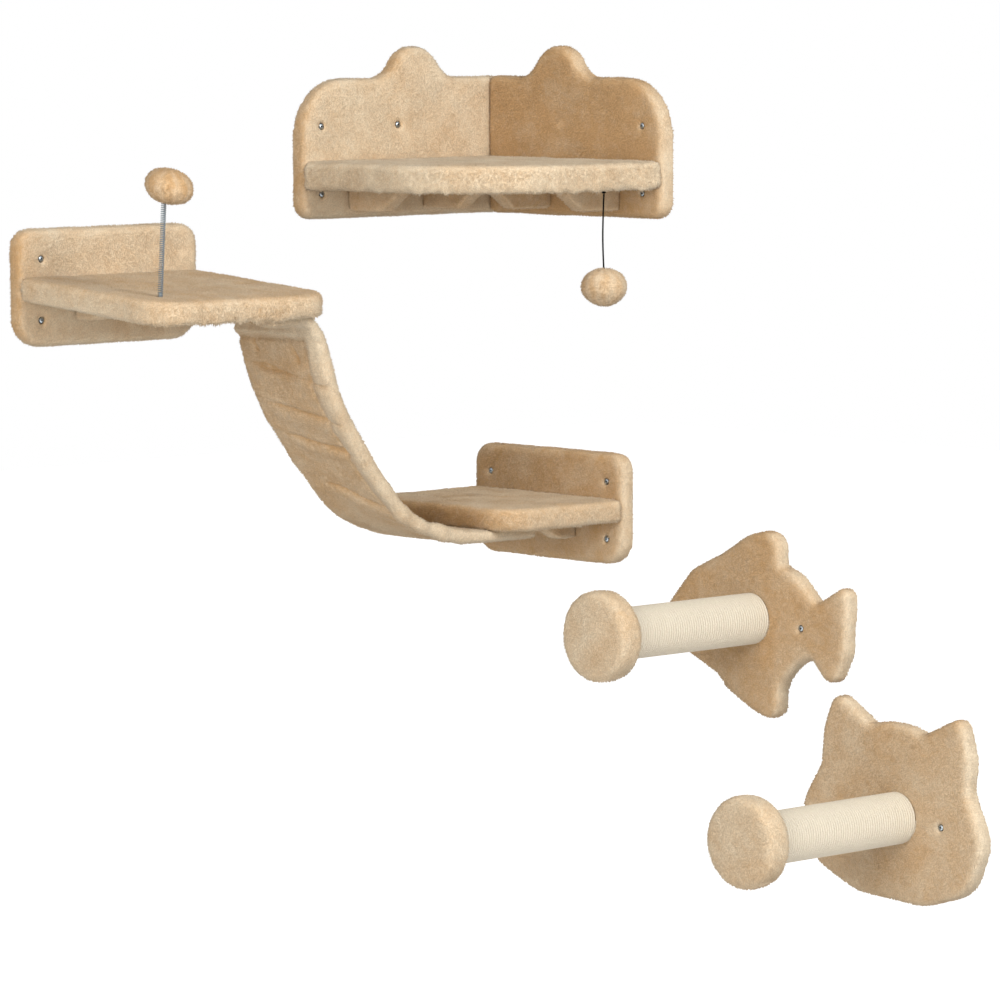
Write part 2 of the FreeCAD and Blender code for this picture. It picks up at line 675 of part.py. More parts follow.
def bridge():
    # a flat end under each shelf, and a sagging run between them
    thick, lean = size("bridge_thick"), math.radians(size("upper_droop"))
    below = shelf_total + thick / 2 + gap
    under_upper = upper_top - (bridge_mid - front) * math.tan(lean) - below / math.cos(lean)
    under_lower = lower_top - below
    edge_upper = size("upper_along") + size("plate_width") / 2
    edge_lower = -front - size("lower_depth")
    fall = under_upper - under_lower
    run = edge_lower - edge_upper
    flat_end, flat_start, narrow = edge_upper - size("bridge_lap"), edge_lower + 2, BRIDGE_SAG[-1][3]
    route = [(flat_end, under_upper, 1, 1)]
    route += [(edge_upper + run * across, under_upper - fall * down, twist, share)
              for across, down, twist, share in BRIDGE_SAG]
    route += [(flat_start, under_lower, 0, narrow)]
    mat = new_body("bridge_blank", Vec(0, 0, 0), UPRIGHT)

    def section(y, z, twist, share, tangent):
        across = FreeCAD.Rotation(Vec(0, 1, 0), size("upper_droop") * twist).multVec(Vec(1, 0, 0))
        turn = FreeCAD.Rotation(across, Vec(0, 0, 0), tangent, "ZXY")
        wide = size("bridge_width") * share
        middle = bridge_mid - (size("bridge_width") - wide) / 2
        drawing = sketch(mat, edges_of(mat_section(wide, thick)))
        drawing.AttachmentOffset = FreeCAD.Placement(Vec(middle, y, z), turn)
        return drawing

    level_run = Vec(0, 1, 0)
    pad(mat, section(flat_end - size("bridge_grip"), under_upper, 1, 1, level_run), "bridge_grip")
    sections = [section(*route[0], level_run)]
    for before, here, after in zip(route, route[1:], route[2:]):
        tangent = Vec(0, after[0] - before[0], after[1] - before[1]).normalize()
        sections.append(section(*here, tangent))
    sections.append(section(*route[-1], level_run))
    loft = mat.newObject("PartDesign::AdditiveLoft", "Mat")
    loft.Profile = sections[0]
    loft.Sections = sections[1:]
    pad(mat, section(flat_start, under_lower, 0, narrow, level_run), "bridge_tail")
    doc.recompute()
    return mat


# middle line of the run as (share of the run, share of the fall, share of the shelf lean, share of
# the full width)
BRIDGE_SAG = [(-0.02, 0.045, 0.9, 1), (0.022, 0.145, 0.8, 1), (0.07, 0.295, 0.7, 1),
              (0.16, 0.46, 0.5, 0.97), (0.27, 0.605, 0.35, 0.93), (0.395, 0.753, 0.2, 0.9),
              (0.505, 0.858, 0.1, 0.88), (0.645, 0.935, 0, 0.87), (0.81, 0.981, 0, 0.87),
              (0.92, 0.996, 0, 0.87)]
cut("bridge_mat", bridge(), upper_mat_bores + lower_mat_bores)


def upside(spots):
    over = FreeCAD.Rotation(Vec(1, 0, 0), 180)
    return [(place, turn.multiply(over)) for place, turn in spots]


copies("bridge_screws", mat_screw, upside(upper_mat_spots) + upside(lower_mat_spots))


# ---------------------------------------------------------------- post steps

FISH = [(-158, -26, 30), (-118, -56, 40), (-68, -77, 20), (-50, -97, 20), (0, -121, 60), (46, -135, 20),
        (50, -82, 24), (80, -52, 30), (108, -40, 12), (146, -82, 16), (171, -28, 50), (174, 65, 11),
        (116, 31, 10), (76, 69, 45), (48, 78, 6), (47, 129, 24), (-14, 114, 60), (-64, 85, 40),
        (-120, 60, 60), (-163, 10, 22)]
HEAD = [(60, -111, 100), (140, -81, 60), (163, -12, 50), (130, 50, 25), (130, 98, 60), (112, 150, 15),
        (47, 114, 18), (20, 122, 60)]


def post_step(name, along, height, outline, screws):
    centre = Vec(along, 0, height)
    board, cover = wall_board(name, outline, centre, ON_RIGHT)
    wall_spots = [(centre + Vec(x, 0, z), SOUTH) for x, z in screws]
    far_end = front + size("post_length")
    middle = [rod(name + "_bolt_bore", centre + Vec(0, 5, 0), SOUTH, "Sizes.bolt_radius + Sizes.fit_gap", "400")]
    sink = [rod(name + "_bolt_sink", centre + Vec(0, 5, 0), SOUTH, "Sizes.bolt_head + Sizes.fit_gap",
                "5 + Sizes.bolt_head_tall")]
    board_bores = rods(name + "_wall_bore", wall_spots, "Sizes.screw_radius + Sizes.fit_gap",
                       "Sizes.board_thick + 40", 20)
    cover_bores = rods(name + "_head_bore", wall_spots, "Sizes.screw_head + Sizes.fit_gap",
                       "Sizes.board_thick + 40", 20)
    cut(name + "_board", board, board_bores + middle + sink)
    cut(name + "_cover", cover, cover_bores + middle)
    copies(name + "_screws", wall_screw, [(place + Vec(0, -size("board_thick"), 0), SOUTH)
                                          for place, _ in wall_spots])
    start = Vec(along, -front, height)
    sleeve(name + "_sisal", start, "Sizes.post_radius", "Sizes.post_radius - Sizes.sisal_thick")
    sleeve(name + "_tube", start, "Sizes.post_radius - Sizes.sisal_thick - Sizes.fit_gap",
           "Sizes.post_radius - Sizes.sisal_thick - Sizes.fit_gap - Sizes.tube_wall")
    plug_radius = "Sizes.post_radius - Sizes.sisal_thick - 2 * Sizes.fit_gap - Sizes.tube_wall"
    other = Vec(along, -far_end + size("plug_long"), height)
    plugs = [rod(name + "_plug_%d" % i, place, SOUTH, plug_radius, "plug_long")
             for i, place in enumerate((start, other))]
    cut(name + "_plugs", tool_group(name + "_plug_pair", plugs), middle)
    disc = new_body(name + "_disc", Vec(along, -far_end, height), SOUTH)
    pad(disc, sketch(disc, [Part.Circle(Vec(0, 0, 0), Vec(0, 0, 1), size("disc_radius") - plush)],
                     lift="Sizes.plush_thick"), "disc_board")
    outer = far_end + plush + size("disc_board")
    head_out = rod(name + "_disc_sink", Vec(along, size("bolt_head_tall") - outer, height), SOUTH,
                   "Sizes.bolt_head + Sizes.fit_gap", "Sizes.bolt_head_tall")
    cut(name + "_end_board", disc, middle + [head_out])
    skin = new_body(name + "_end_skin", Vec(along, -far_end, height), SOUTH)
    pad(skin, sketch(skin, [Part.Circle(Vec(0, 0, 0), Vec(0, 0, 1), size("disc_radius"))]),
        "Sizes.disc_board + 2 * Sizes.plush_thick")
    round_edges(skin, "edge_round", rounds([0, size("disc_board") + 2 * plush], []))
    pocket(skin, sketch(skin, [Part.Circle(Vec(0, 0, 0), Vec(0, 0, 1), size("disc_radius") - plush + gap)],
                        lift="Sizes.plush_thick"), "disc_board")
    inner = rod(name + "_end_bore", Vec(along, -far_end + 5, height), SOUTH,
                "Sizes.bolt_radius + Sizes.fit_gap", "5 + 2 * Sizes.plush_thick")
    cut(name + "_end_cover", skin, [inner])
    wall_bolt = (centre + Vec(0, -size("bolt_head_tall"), 0), SOUTH.multiply(FreeCAD.Rotation(Vec(1, 0, 0), 180)))
    end_bolt = (Vec(along, size("bolt_head_tall") - outer, height), SOUTH)
    copies(name + "_bolts", post_bolt, [wall_bolt, end_bolt])


def sleeve(label, start, outer, inner):
    solid = rod(label + "_outer", start, SOUTH, outer, "post_length")
    cut(label, solid, [rod(label + "_inner", start + Vec(0, 1, 0), SOUTH, inner, "Sizes.post_length + 2")])


fish_side = size("fish_screw_side")
fish_low = size("fish_drop")
post_step("fish", size("fish_along"), size("fish_height"), shifted(FISH, 0, fish_low),
          [(-fish_side, fish_low - 2), (fish_side, fish_low - 2)])
tilt, offset = size("head_tilt"), size("head_offset")
head_shape = turned(shifted(mirrored(HEAD), offset, 0), -tilt)
head_side = size("head_screw_side")
spin = math.radians(tilt)
head_screws = [(side * head_side * math.cos(spin), -side * head_side * math.sin(spin)) for side in (-1, 1)]
post_step("head", size("head_along"), size("head_height"), head_shape, head_screws)


# ---------------------------------------------------------------- spring toy

TURNS = [14.5, 10.25, 9.75, 10.25, 10]
pin = doc.addObject("Part::Cylinder", "spring_pin_body")
bound(pin, Radius="spring_pin_radius", Height="Sizes.plush_thick + 20")
pin.Placement = FreeCAD.Placement(on_upper(size("spring_out"), spring_side, -20), upper_turn)
keep(pin, "spring_pin")


def coil(label, base, start, turns):
    # a piece of the spring; a sliver is left out at both ends so neighbours don't touch
    sliver = 0.012
    pitch, radius = size("coil_pitch"), size("coil_radius")
    rise = on_upper(size("spring_out"), spring_side, base + sliver * pitch)
    spin_start = FreeCAD.Rotation(Vec(0, 0, 1), (start + sliver) * 360)
    body = new_body(label + "_body", rise, upper_turn.multiply(spin_start))
    wire = sketch(body, [Part.Circle(Vec(radius, 0, 0), Vec(0, 0, 1), size("wire_radius"))], "XZ_Plane")
    wind = body.newObject("PartDesign::AdditiveHelix", "Coil")
    wind.Profile = wire
    wind.ReferenceAxis = (wire, ["V_Axis"])
    wind.Mode = 0
    bound(wind, Pitch="coil_pitch")
    wind.Height = (turns - 2 * sliver) * pitch
    doc.recompute()
    return keep(body, label)


level = -plush + size("wire_radius")
angle = -TURNS[0] % 1
hinge_levels = []
for number, turns in enumerate(TURNS, start=1):
    coil("spring_coil_%d" % number, level, angle, turns)
    level += turns * size("coil_pitch")
    angle = (angle + turns) % 1
    hinge_levels.append(level)


def oval(name, centre, turn, half, shrink):
    # a ball flattened along its local Z, turned from a side arc between two cap arcs
    out = size("ball_side_out")
    drop = half - size("ball_radius") + out
    low = (out ** 2 - drop ** 2) / (2 * drop)
    cap_radius = half + low - shrink
    spread = math.atan2(out, low)

    def on_cap(angle, side):
        return Vec(cap_radius * math.sin(angle), side * (cap_radius * math.cos(angle) - low), 0)

    top, end = on_cap(0, 1), on_cap(spread, 1)
    bottom, start = on_cap(0, -1), on_cap(spread, -1)
    edges = [Part.Arc(top, on_cap(spread / 2, 1), end),
             Part.Arc(end, Vec(size("ball_radius") - shrink, 0, 0), start),
             Part.Arc(start, on_cap(spread / 2, -1), bottom),
             Part.LineSegment(bottom, top)]
    body = new_body(name, centre, turn)
    drawing = sketch(body, edges, "XZ_Plane")
    turned_part = body.newObject("PartDesign::Revolution", "Turned")
    turned_part.Profile = drawing
    turned_part.ReferenceAxis = (drawing, ["V_Axis"])
    turned_part.Angle = 360
    doc.recompute()
    return body


def ball(name, centre, turn, half, bores):
    # soft core and plush cover, round about the local Z axis
    thick = size("ball_plush")
    cut(name + "_core", oval(name + "_core_blank", centre, turn, half, thick), bores)
    shell = doc.addObject("Part::Cut", name + "_shell")
    shell.Base = oval(name + "_outside", centre, turn, half, 0)
    shell.Tool = oval(name + "_inside", centre, turn, half, thick - gap)
    cut(name + "_cover", shell, bores)


view_right = Vec(math.cos(math.radians(47)), math.sin(math.radians(47)), 0)
lean_axis = Vec(-view_right.y, view_right.x, 0)
spring_ball_turn = FreeCAD.Rotation(lean_axis, size("spring_ball_lean"))
ball_rise = hinge_levels[-1] - 6 + size("spring_ball_half")
socket = rod("spring_socket", on_upper(size("spring_out"), spring_side, hinge_levels[-1] - 14),
             upper_turn, "Sizes.coil_radius + Sizes.wire_radius + Sizes.fit_gap", "15")
ball_shift = view_right * size("spring_ball_shift")
ball("spring_ball", on_upper(size("spring_out"), spring_side, ball_rise) + ball_shift, spring_ball_turn,
     size("spring_ball_half"), [socket])
for number, height in enumerate(hinge_levels[:-1], start=1):
    spot = on_upper(size("spring_out"), spring_side, height)
    print("spring hinge", number, [round(v, 3) for v in spot])
print("spring axis", [round(v, 5) for v in upper_turn.multVec(Vec(1, 0, 0))])


# ---------------------------------------------------------------- hanging toy

tack_low = perch_under + 0.4
tack = rod("toy_tack", cord_spot + Vec(0, 0, tack_low), UPRIGHT, "Sizes.cord_radius", "Sizes.plush_thick + 10")
keep(tack, "toy_tack")
knot_centre = cord_spot + Vec(0, 0, tack_low - gap - size("knot_radius"))
knot = doc.addObject("Part::Sphere", "toy_knot")
bound(knot, Radius="knot_radius")
knot.Placement = FreeCAD.Placement(knot_centre, UPRIGHT)
keep(knot, "toy_knot")

cord_top = knot_centre.z - size("knot_radius") - gap
drop = size("cord_drop")
CORD = [(0, 0), (-1.8, -0.3), (-2.6, -0.66), (0, -1)]
route = [cord_spot + Vec(x, 0, cord_top + share * drop) for x, share in CORD]


def cord(label, points):
    # straight runs joined by tangent arcs
    edges = []
    last = points[0]
    for i in range(1, len(points) - 1):
        here = points[i]
        back, ahead = points[i - 1] - here, points[i + 1] - here
        short = min(back.Length, ahead.Length)
        back.normalize()
        ahead.normalize()
        half = (math.pi - back.getAngle(ahead)) / 2
        radius = 0.45 * short / math.tan(half)
        middle = (back + ahead).normalize() * (radius / math.cos(half) - radius)
        start, end = here + back * (0.45 * short), here + ahead * (0.45 * short)
        edges.append(Part.LineSegment(last, start).toShape())
        edges.append(Part.Arc(start, here + middle, end).toShape())
        print("cord bend radius", round(radius, 1))
        last = end
    edges.append(Part.LineSegment(last, points[-1]).toShape())
    spine = doc.addObject("Part::Feature", label + "_route")
    spine.Shape = Part.Wire(edges)
    ring = doc.addObject("Part::Circle", label + "_ring")
    bound(ring, Radius="cord_radius")
    first = (points[1] - points[0]).normalize()
    ring.Placement = FreeCAD.Placement(points[0], FreeCAD.Rotation(Vec(0, 0, 1), first))
    sweep = doc.addObject("Part::Sweep", label)
    sweep.Sections = [ring]
    sweep.Spine = (spine, ["Edge%d" % (i + 1) for i in range(len(edges))])
    sweep.Solid = True
    sweep.Frenet = False
    doc.recompute()
    length = spine.Shape.Length
    print("cord length", round(length, 2), "volume", round(sweep.Shape.Volume, 2),
          "section by length", round(math.pi * size("cord_radius") ** 2 * length, 2))
    return keep(sweep, label)


cord("toy_cord", route)
ball_top = route[-1].z + size("cord_sink")
hang_centre = Vec(route[-1].x, route[-1].y, ball_top - size("hang_ball_half"))
cord_bore = rod("cord_bore", hang_centre, UPRIGHT, "Sizes.cord_radius + Sizes.fit_gap", "Sizes.hang_ball_half + 5")
cord_bore.Placement = FreeCAD.Placement(route[-1] + Vec(0, 0, -0.3), UPRIGHT)
ball("hanging_ball", hang_centre, UPRIGHT, size("hang_ball_half"), [cord_bore])
print("toy pivot", [round(v, 3) for v in knot_centre])


# ---------------------------------------------------------------- files

doc.recompute()
bad = [item.Label for item in doc.Objects if "Invalid" in item.State or "Error" in item.State]
if bad:
    raise ValueError("objects in error: %s" % ", ".join(bad))
names = [node.Label for node in nodes]
if len(set(names)) != len(names):
    raise ValueError("two nodes share a name")
for node in nodes:
    if node.Shape.isNull() or not node.Shape.isValid() or node.Shape.Volume < 1e-3:
        raise ValueError("bad shape: " + node.Label)
os.makedirs("parts", exist_ok=True)
for node in nodes:
    node.Shape.exportStep("parts/%s.step" % node.Label)
for node in nodes:
    low, high = node.Shape.BoundBox, node.Shape.BoundBox
    print("%-26s %2d  X %7.1f %7.1f  Y %7.1f %7.1f  Z %7.1f %7.1f  %9.1f" % (
        node.Label, len(node.Shape.Solids), low.XMin, high.XMax, low.YMin, high.YMax, low.ZMin, high.ZMax,
        node.Shape.Volume / 1000))
print(len(nodes), "nodes")
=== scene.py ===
import json
import math
import bmesh
import bpy
from mathutils import Matrix, Vector, noise
from mathutils.bvhtree import BVHTree


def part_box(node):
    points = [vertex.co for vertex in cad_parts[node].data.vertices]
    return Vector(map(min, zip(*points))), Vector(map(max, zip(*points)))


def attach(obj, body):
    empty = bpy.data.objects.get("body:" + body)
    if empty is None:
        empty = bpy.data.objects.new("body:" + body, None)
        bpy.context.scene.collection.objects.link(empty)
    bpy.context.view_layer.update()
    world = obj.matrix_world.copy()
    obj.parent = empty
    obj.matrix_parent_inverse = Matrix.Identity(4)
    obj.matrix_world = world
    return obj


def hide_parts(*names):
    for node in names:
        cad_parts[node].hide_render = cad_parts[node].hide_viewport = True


# Wall mounted cat tree: plush over boards, sisal posts, a sagging plush bridge, two ball toys.
# Metres; Z up; the room's corner line is X = 0, Y = 0.

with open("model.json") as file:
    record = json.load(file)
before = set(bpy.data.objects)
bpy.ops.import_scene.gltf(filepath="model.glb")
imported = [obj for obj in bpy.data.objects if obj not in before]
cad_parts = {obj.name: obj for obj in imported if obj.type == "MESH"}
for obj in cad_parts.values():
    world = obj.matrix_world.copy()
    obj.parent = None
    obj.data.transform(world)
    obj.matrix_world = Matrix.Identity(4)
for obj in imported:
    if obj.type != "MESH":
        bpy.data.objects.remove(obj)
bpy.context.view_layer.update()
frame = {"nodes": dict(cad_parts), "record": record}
nodes = frame["nodes"]
scene = bpy.context.scene
print("frame loaded")

camera = {"at": (5.316059, -4.929918, 0.298744), "yaw": 47.058, "pitch": 5.601, "roll": -0.176,
          "lens": 184.18}


def makeCamera(spec):
    yaw, pitch, roll = (math.radians(spec[k]) for k in ("yaw", "pitch", "roll"))
    ahead = Vector((-math.sin(yaw) * math.cos(pitch), math.cos(yaw) * math.cos(pitch), -math.sin(pitch)))
    right = Vector((math.cos(yaw), math.sin(yaw), 0))
    up = right.cross(ahead)
    rolledRight = right * math.cos(roll) + up * math.sin(roll)
    rolledUp = up * math.cos(roll) - right * math.sin(roll)
    data = bpy.data.cameras.new("camera")
    data.lens, data.sensor_width = spec["lens"], 36
    data.clip_start, data.clip_end = 0.1, 100
    made = bpy.data.objects.new("camera", data)
    scene.collection.objects.link(made)
    turn = Matrix((rolledRight, rolledUp, -ahead)).transposed().to_4x4()
    made.matrix_world = Matrix.Translation(spec["at"]) @ turn
    scene.camera = made


light = {"key": {"at": (4.8, -0.6, 2.4), "size": 1.8, "power": 180, "color": (1.0, 0.99, 0.97)},
         "fill": {"at": (2.2, -4.6, 1.0), "size": 3.0, "power": 116, "color": (1.0, 0.97, 0.93)},
         "aim": (0.3, -0.3, -0.3), "world": 0.38, "worldColor": (1.0, 0.97, 0.93), "white": (1, 1, 1)}
floorSpec = {"level": -1.7, "half": 12, "color": (0.9, 0.9, 0.9), "roughness": 0.9, "glow": 0.8}


def addLamp(name, spec):
    data = bpy.data.lights.new(name, "AREA")
    data.size, data.energy, data.color = spec["size"], spec["power"], spec["color"]
    lamp = bpy.data.objects.new(name, data)
    scene.collection.objects.link(lamp)
    place = Vector(spec["at"])
    lamp.location = place
    lamp.rotation_euler = (Vector(light["aim"]) - place).to_track_quat("-Z", "Y").to_euler()


def seenWhite(nodeTree):
    # 1 where the camera, a reflection or clear plastic looks at it, 0 elsewhere
    path = nodeTree.nodes.new("ShaderNodeLightPath")
    seen = None
    for socket in ("Is Camera Ray", "Is Glossy Ray", "Is Transmission Ray"):
        if seen is None:
            seen = path.outputs[socket]
            continue
        either = nodeTree.nodes.new("ShaderNodeMath")
        either.operation = "MAXIMUM"
        nodeTree.links.new(seen, either.inputs[0])
        nodeTree.links.new(path.outputs[socket], either.inputs[1])
        seen = either.outputs[0]
    return seen


def makeWorld(spec):
    world = bpy.data.worlds.new("studio")
    scene.world = world
    world.use_nodes = True
    tree = world.node_tree
    tree.nodes.clear()
    out = tree.nodes.new("ShaderNodeOutputWorld")
    mix = tree.nodes.new("ShaderNodeMixShader")
    soft = tree.nodes.new("ShaderNodeBackground")
    soft.inputs["Color"].default_value = (*spec["worldColor"], 1)
    soft.inputs["Strength"].default_value = spec["world"]
    plain = tree.nodes.new("ShaderNodeBackground")
    plain.inputs["Color"].default_value = (*spec["white"], 1)
    tree.links.new(seenWhite(tree), mix.inputs[0])
    tree.links.new(soft.outputs[0], mix.inputs[1])
    tree.links.new(plain.outputs[0], mix.inputs[2])
    tree.links.new(mix.outputs[0], out.inputs[0])


def makeFloor(spec, white):
    bm = bmesh.new()
    bmesh.ops.create_grid(bm, x_segments=1, y_segments=1, size=spec["half"])
    bmesh.ops.translate(bm, verts=bm.verts, vec=(0, 0, spec["level"]))
    mesh = bpy.data.meshes.new("floor")
    bm.to_mesh(mesh)
    bm.free()
    floor = bpy.data.objects.new("floor", mesh)
    scene.collection.objects.link(floor)
    paint = bpy.data.materials.new("paleFloor")
    paint.use_nodes = True
    tree = paint.node_tree
    shader = tree.nodes["Principled BSDF"]
    shader.inputs["Base Color"].default_value = (*spec["color"], 1)
    shader.inputs["Roughness"].default_value = spec["roughness"]
    shader.inputs["Emission Color"].default_value = (*white, 1)
    glow = tree.nodes.new("ShaderNodeMath")
    glow.operation = "MULTIPLY"
    glow.inputs[1].default_value = spec["glow"]
    tree.links.new(seenWhite(tree), glow.inputs[0])
    tree.links.new(glow.outputs[0], shader.inputs["Emission Strength"])
    mesh.materials.append(paint)


makeCamera(camera)
addLamp("keyLamp", light["key"])
addLamp("fillLamp", light["fill"])
makeWorld(light)
makeFloor(floorSpec, light["white"])
scene.view_settings.view_transform = "Standard"
print("camera and light set")


def socketsOf(group, kind, wanted):
    for name, socketType in wanted:
        group.interface.new_socket(name, in_out=kind, socket_type="NodeSocket" + socketType)


def link(tree, a, b):
    tree.links.new(a, b)


def noiseNode(tree, vector, scale, detail=3, roughness=0.55, distortion=0):
    node = tree.nodes.new("ShaderNodeTexNoise")
    link(tree, vector, node.inputs["Vector"])
    node.inputs["Scale"].default_value = scale
    node.inputs["Detail"].default_value = detail
    node.inputs["Roughness"].default_value = roughness
    node.inputs["Distortion"].default_value = distortion
    return node.outputs["Fac"]


noiseSpan = (0.3, 0.7)  # where most of a noise's values lie


def ranged(tree, value, low, high, toLow=0.0, toHigh=1.0):
    node = tree.nodes.new("ShaderNodeMapRange")
    for socket, number in zip(("From Min", "From Max", "To Min", "To Max"), (low, high, toLow, toHigh)):
        node.inputs[socket].default_value = number
    link(tree, value, node.inputs["Value"])
    return node.outputs["Result"]


def mixed(tree, factor, a, b, blend="MIX"):
    node = tree.nodes.new("ShaderNodeMix")
    node.data_type, node.blend_type = "RGBA", blend
    for socket, value in ((node.inputs[0], factor), (node.inputs[6], a), (node.inputs[7], b)):
        if isinstance(value, (int, float)):
            socket.default_value = value
        elif isinstance(value, tuple):
            socket.default_value = (*value, 1)
        else:
            link(tree, value, socket)
    return node.outputs[2]


napLook = {"patches": {"scale": 15, "detail": 4, "roughness": 0.6, "distortion": 0.7, "sway": 0.24},
           "streaks": {"scale": 75, "detail": 3, "roughness": 0.6, "distortion": 1.6, "sway": 0.14},
           "fine": {"scale": 620, "detail": 2, "span": (0.25, 0.75), "shade": (0.88, 1.09)}}


def swayed(tree, place, spec):
    cloud = noiseNode(tree, place, spec["scale"], spec["detail"], spec["roughness"], spec["distortion"])
    return ranged(tree, cloud, *noiseSpan, -spec["sway"], spec["sway"])


def shaded(tree, color, shade):
    # the color times a grey
    grey = tree.nodes.new("ShaderNodeCombineColor")
    for channel in range(3):
        link(tree, shade, grey.inputs[channel])
    return mixed(tree, 1.0, color, grey.outputs[0], "MULTIPLY")


def napGroup(spec):
    # patches and brushed streaks that the hand leaves in a short pile
    group = bpy.data.node_groups.new("plushNap", "ShaderNodeTree")
    socketsOf(group, "INPUT", [("Vector", "Vector"), ("Pale", "Color"), ("Deep", "Color"),
                               ("Tone", "Float")])
    socketsOf(group, "OUTPUT", [("Color", "Color"), ("Height", "Float")])
    come, go = group.nodes.new("NodeGroupInput"), group.nodes.new("NodeGroupOutput")
    place = come.outputs["Vector"]
    patches = swayed(group, place, spec["patches"])
    streaks = swayed(group, place, spec["streaks"])
    fine = noiseNode(group, place, spec["fine"]["scale"], spec["fine"]["detail"])
    share = come.outputs["Tone"]
    for extra in (patches, streaks):
        add = group.nodes.new("ShaderNodeMath")
        add.use_clamp = extra is streaks
        link(group, share, add.inputs[0])
        link(group, extra, add.inputs[1])
        share = add.outputs[0]
    body = mixed(group, share, come.outputs["Pale"], come.outputs["Deep"])
    body = shaded(group, body, ranged(group, fine, *spec["fine"]["span"], *spec["fine"]["shade"]))
    link(group, body, go.inputs["Color"])
    link(group, fine, go.inputs["Height"])
    return group


napTree = napGroup(napLook)


def startMaterial(name):
    mat = bpy.data.materials.new(name)
    mat.use_nodes = True
    tree = mat.node_tree
    place = tree.nodes.new("ShaderNodeTexCoord").outputs["Object"]
    return mat, tree, tree.nodes["Principled BSDF"], place


def bumped(tree, shader, height, distance, strength=1.0):
    bump = tree.nodes.new("ShaderNodeBump")
    bump.inputs["Distance"].default_value = distance
    bump.inputs["Strength"].default_value = strength
    link(tree, height, bump.inputs["Height"])
    link(tree, bump.outputs["Normal"], shader.inputs["Normal"])


plush = {"pale": (0.795, 0.672, 0.502), "deep": (0.62, 0.405, 0.21), "root": 0.82, "tip": 1.08,
         "roughness": 0.95, "specular": 0.15, "bump": 0.0012, "bumpStrength": 0.8,
         "sheen": 0.15, "sheenRoughness": 0.5, "sheenTint": (1, 0.93, 0.82)}


def plushMaterial(name, spec, onPile):
    mat, tree, shader, place = startMaterial(name)
    nap = tree.nodes.new("ShaderNodeGroup")
    nap.node_tree = napTree
    link(tree, place, nap.inputs["Vector"])
    nap.inputs["Pale"].default_value = (*spec["pale"], 1)
    nap.inputs["Deep"].default_value = (*spec["deep"], 1)
    tone = tree.nodes.new("ShaderNodeAttribute")
    tone.attribute_name = "tone"
    link(tree, tone.outputs["Fac"], nap.inputs["Tone"])
    color = nap.outputs["Color"]
    if onPile:
        # painted shade and light: each tuft is darker at its root, down among the other tufts, and a little
        # paler at its tip
        tip = tree.nodes.new("ShaderNodeAttribute")
        tip.attribute_name = "tip"
        color = shaded(tree, color, ranged(tree, tip.outputs["Fac"], 0, 1, spec["root"], spec["tip"]))
    else:
        bumped(tree, shader, nap.outputs["Height"], spec["bump"], spec["bumpStrength"])
    link(tree, color, shader.inputs["Base Color"])
    shader.inputs["Roughness"].default_value = spec["roughness"]
    shader.inputs["Specular IOR Level"].default_value = spec["specular"]
    shader.inputs["Sheen Weight"].default_value = spec["sheen"]
    shader.inputs["Sheen Roughness"].default_value = spec["sheenRoughness"]
    shader.inputs["Sheen Tint"].default_value = (*spec["sheenTint"], 1)
    return mat


board = {"glue": (0.52, 0.38, 0.24), "chip": (0.78, 0.63, 0.45), "scale": 240, "detail": 4, "grain": 0.7,
         "roughness": 0.85, "bump": 0.0005, "bumpStrength": 0.6}


def boardMaterial(spec):
    mat, tree, shader, place = startMaterial("pressedBoard")
    chips = noiseNode(tree, place, spec["scale"], spec["detail"], spec["grain"])
    link(tree, mixed(tree, ranged(tree, chips, *noiseSpan), spec["glue"], spec["chip"]),
         shader.inputs["Base Color"])
    shader.inputs["Roughness"].default_value = spec["roughness"]
    bumped(tree, shader, chips, spec["bump"], spec["bumpStrength"])
    return mat


sisal = {"dark": (0.62, 0.55, 0.435), "light": (0.79, 0.735, 0.625), "aged": (0.73, 0.665, 0.54),
         "hair": (900, 260, 900), "detail": 4, "grain": 0.65, "agedScale": 30, "agedSpan": (0.35, 0.65),
         "agedShare": 0.35, "roughness": 0.8, "bump": 0.0006, "bumpStrength": 0.8}


def sisalMaterial(spec):
    mat, tree, shader, place = startMaterial("sisalRope")
    stretch = tree.nodes.new("ShaderNodeMapping")
    stretch.inputs["Scale"].default_value = spec["hair"]
    link(tree, place, stretch.inputs["Vector"])
    hair = noiseNode(tree, stretch.outputs[0], 1, spec["detail"], spec["grain"])
    broad = noiseNode(tree, place, spec["agedScale"])
    strands = mixed(tree, ranged(tree, hair, *noiseSpan), spec["dark"], spec["light"])
    aged = ranged(tree, broad, *spec["agedSpan"], 0, spec["agedShare"])
    link(tree, mixed(tree, aged, strands, spec["aged"]), shader.inputs["Base Color"])
    shader.inputs["Roughness"].default_value = spec["roughness"]
    bumped(tree, shader, hair, spec["bump"], spec["bumpStrength"])
    return mat


wire = {"color": (0.23, 0.27, 0.30), "dull": 0.86, "scale": 500, "roughness": (0.30, 0.42)}


def wireMaterial(spec):
    mat, tree, shader, place = startMaterial("springWire")
    cloud = noiseNode(tree, place, spec["scale"])
    dull = tuple(c * spec["dull"] for c in spec["color"])
    link(tree, mixed(tree, ranged(tree, cloud, *noiseSpan), spec["color"], dull), shader.inputs["Base Color"])
    link(tree, ranged(tree, cloud, *noiseSpan, *spec["roughness"]), shader.inputs["Roughness"])
    shader.inputs["Metallic"].default_value = 1
    return mat


# the cross recess lies between the shank's top and the head's face, as heights over either wall; it is
# painted near black there, as painted shade
zinc = {"color": (0.46, 0.53, 0.58), "dull": 0.8, "scale": 300, "recessShade": (0.03, 0.05, 0.08),
        "faceHeight": (0.0208, 0.0220), "shankHeight": (0.0160, 0.0165), "roughness": (0.6, 0.34)}


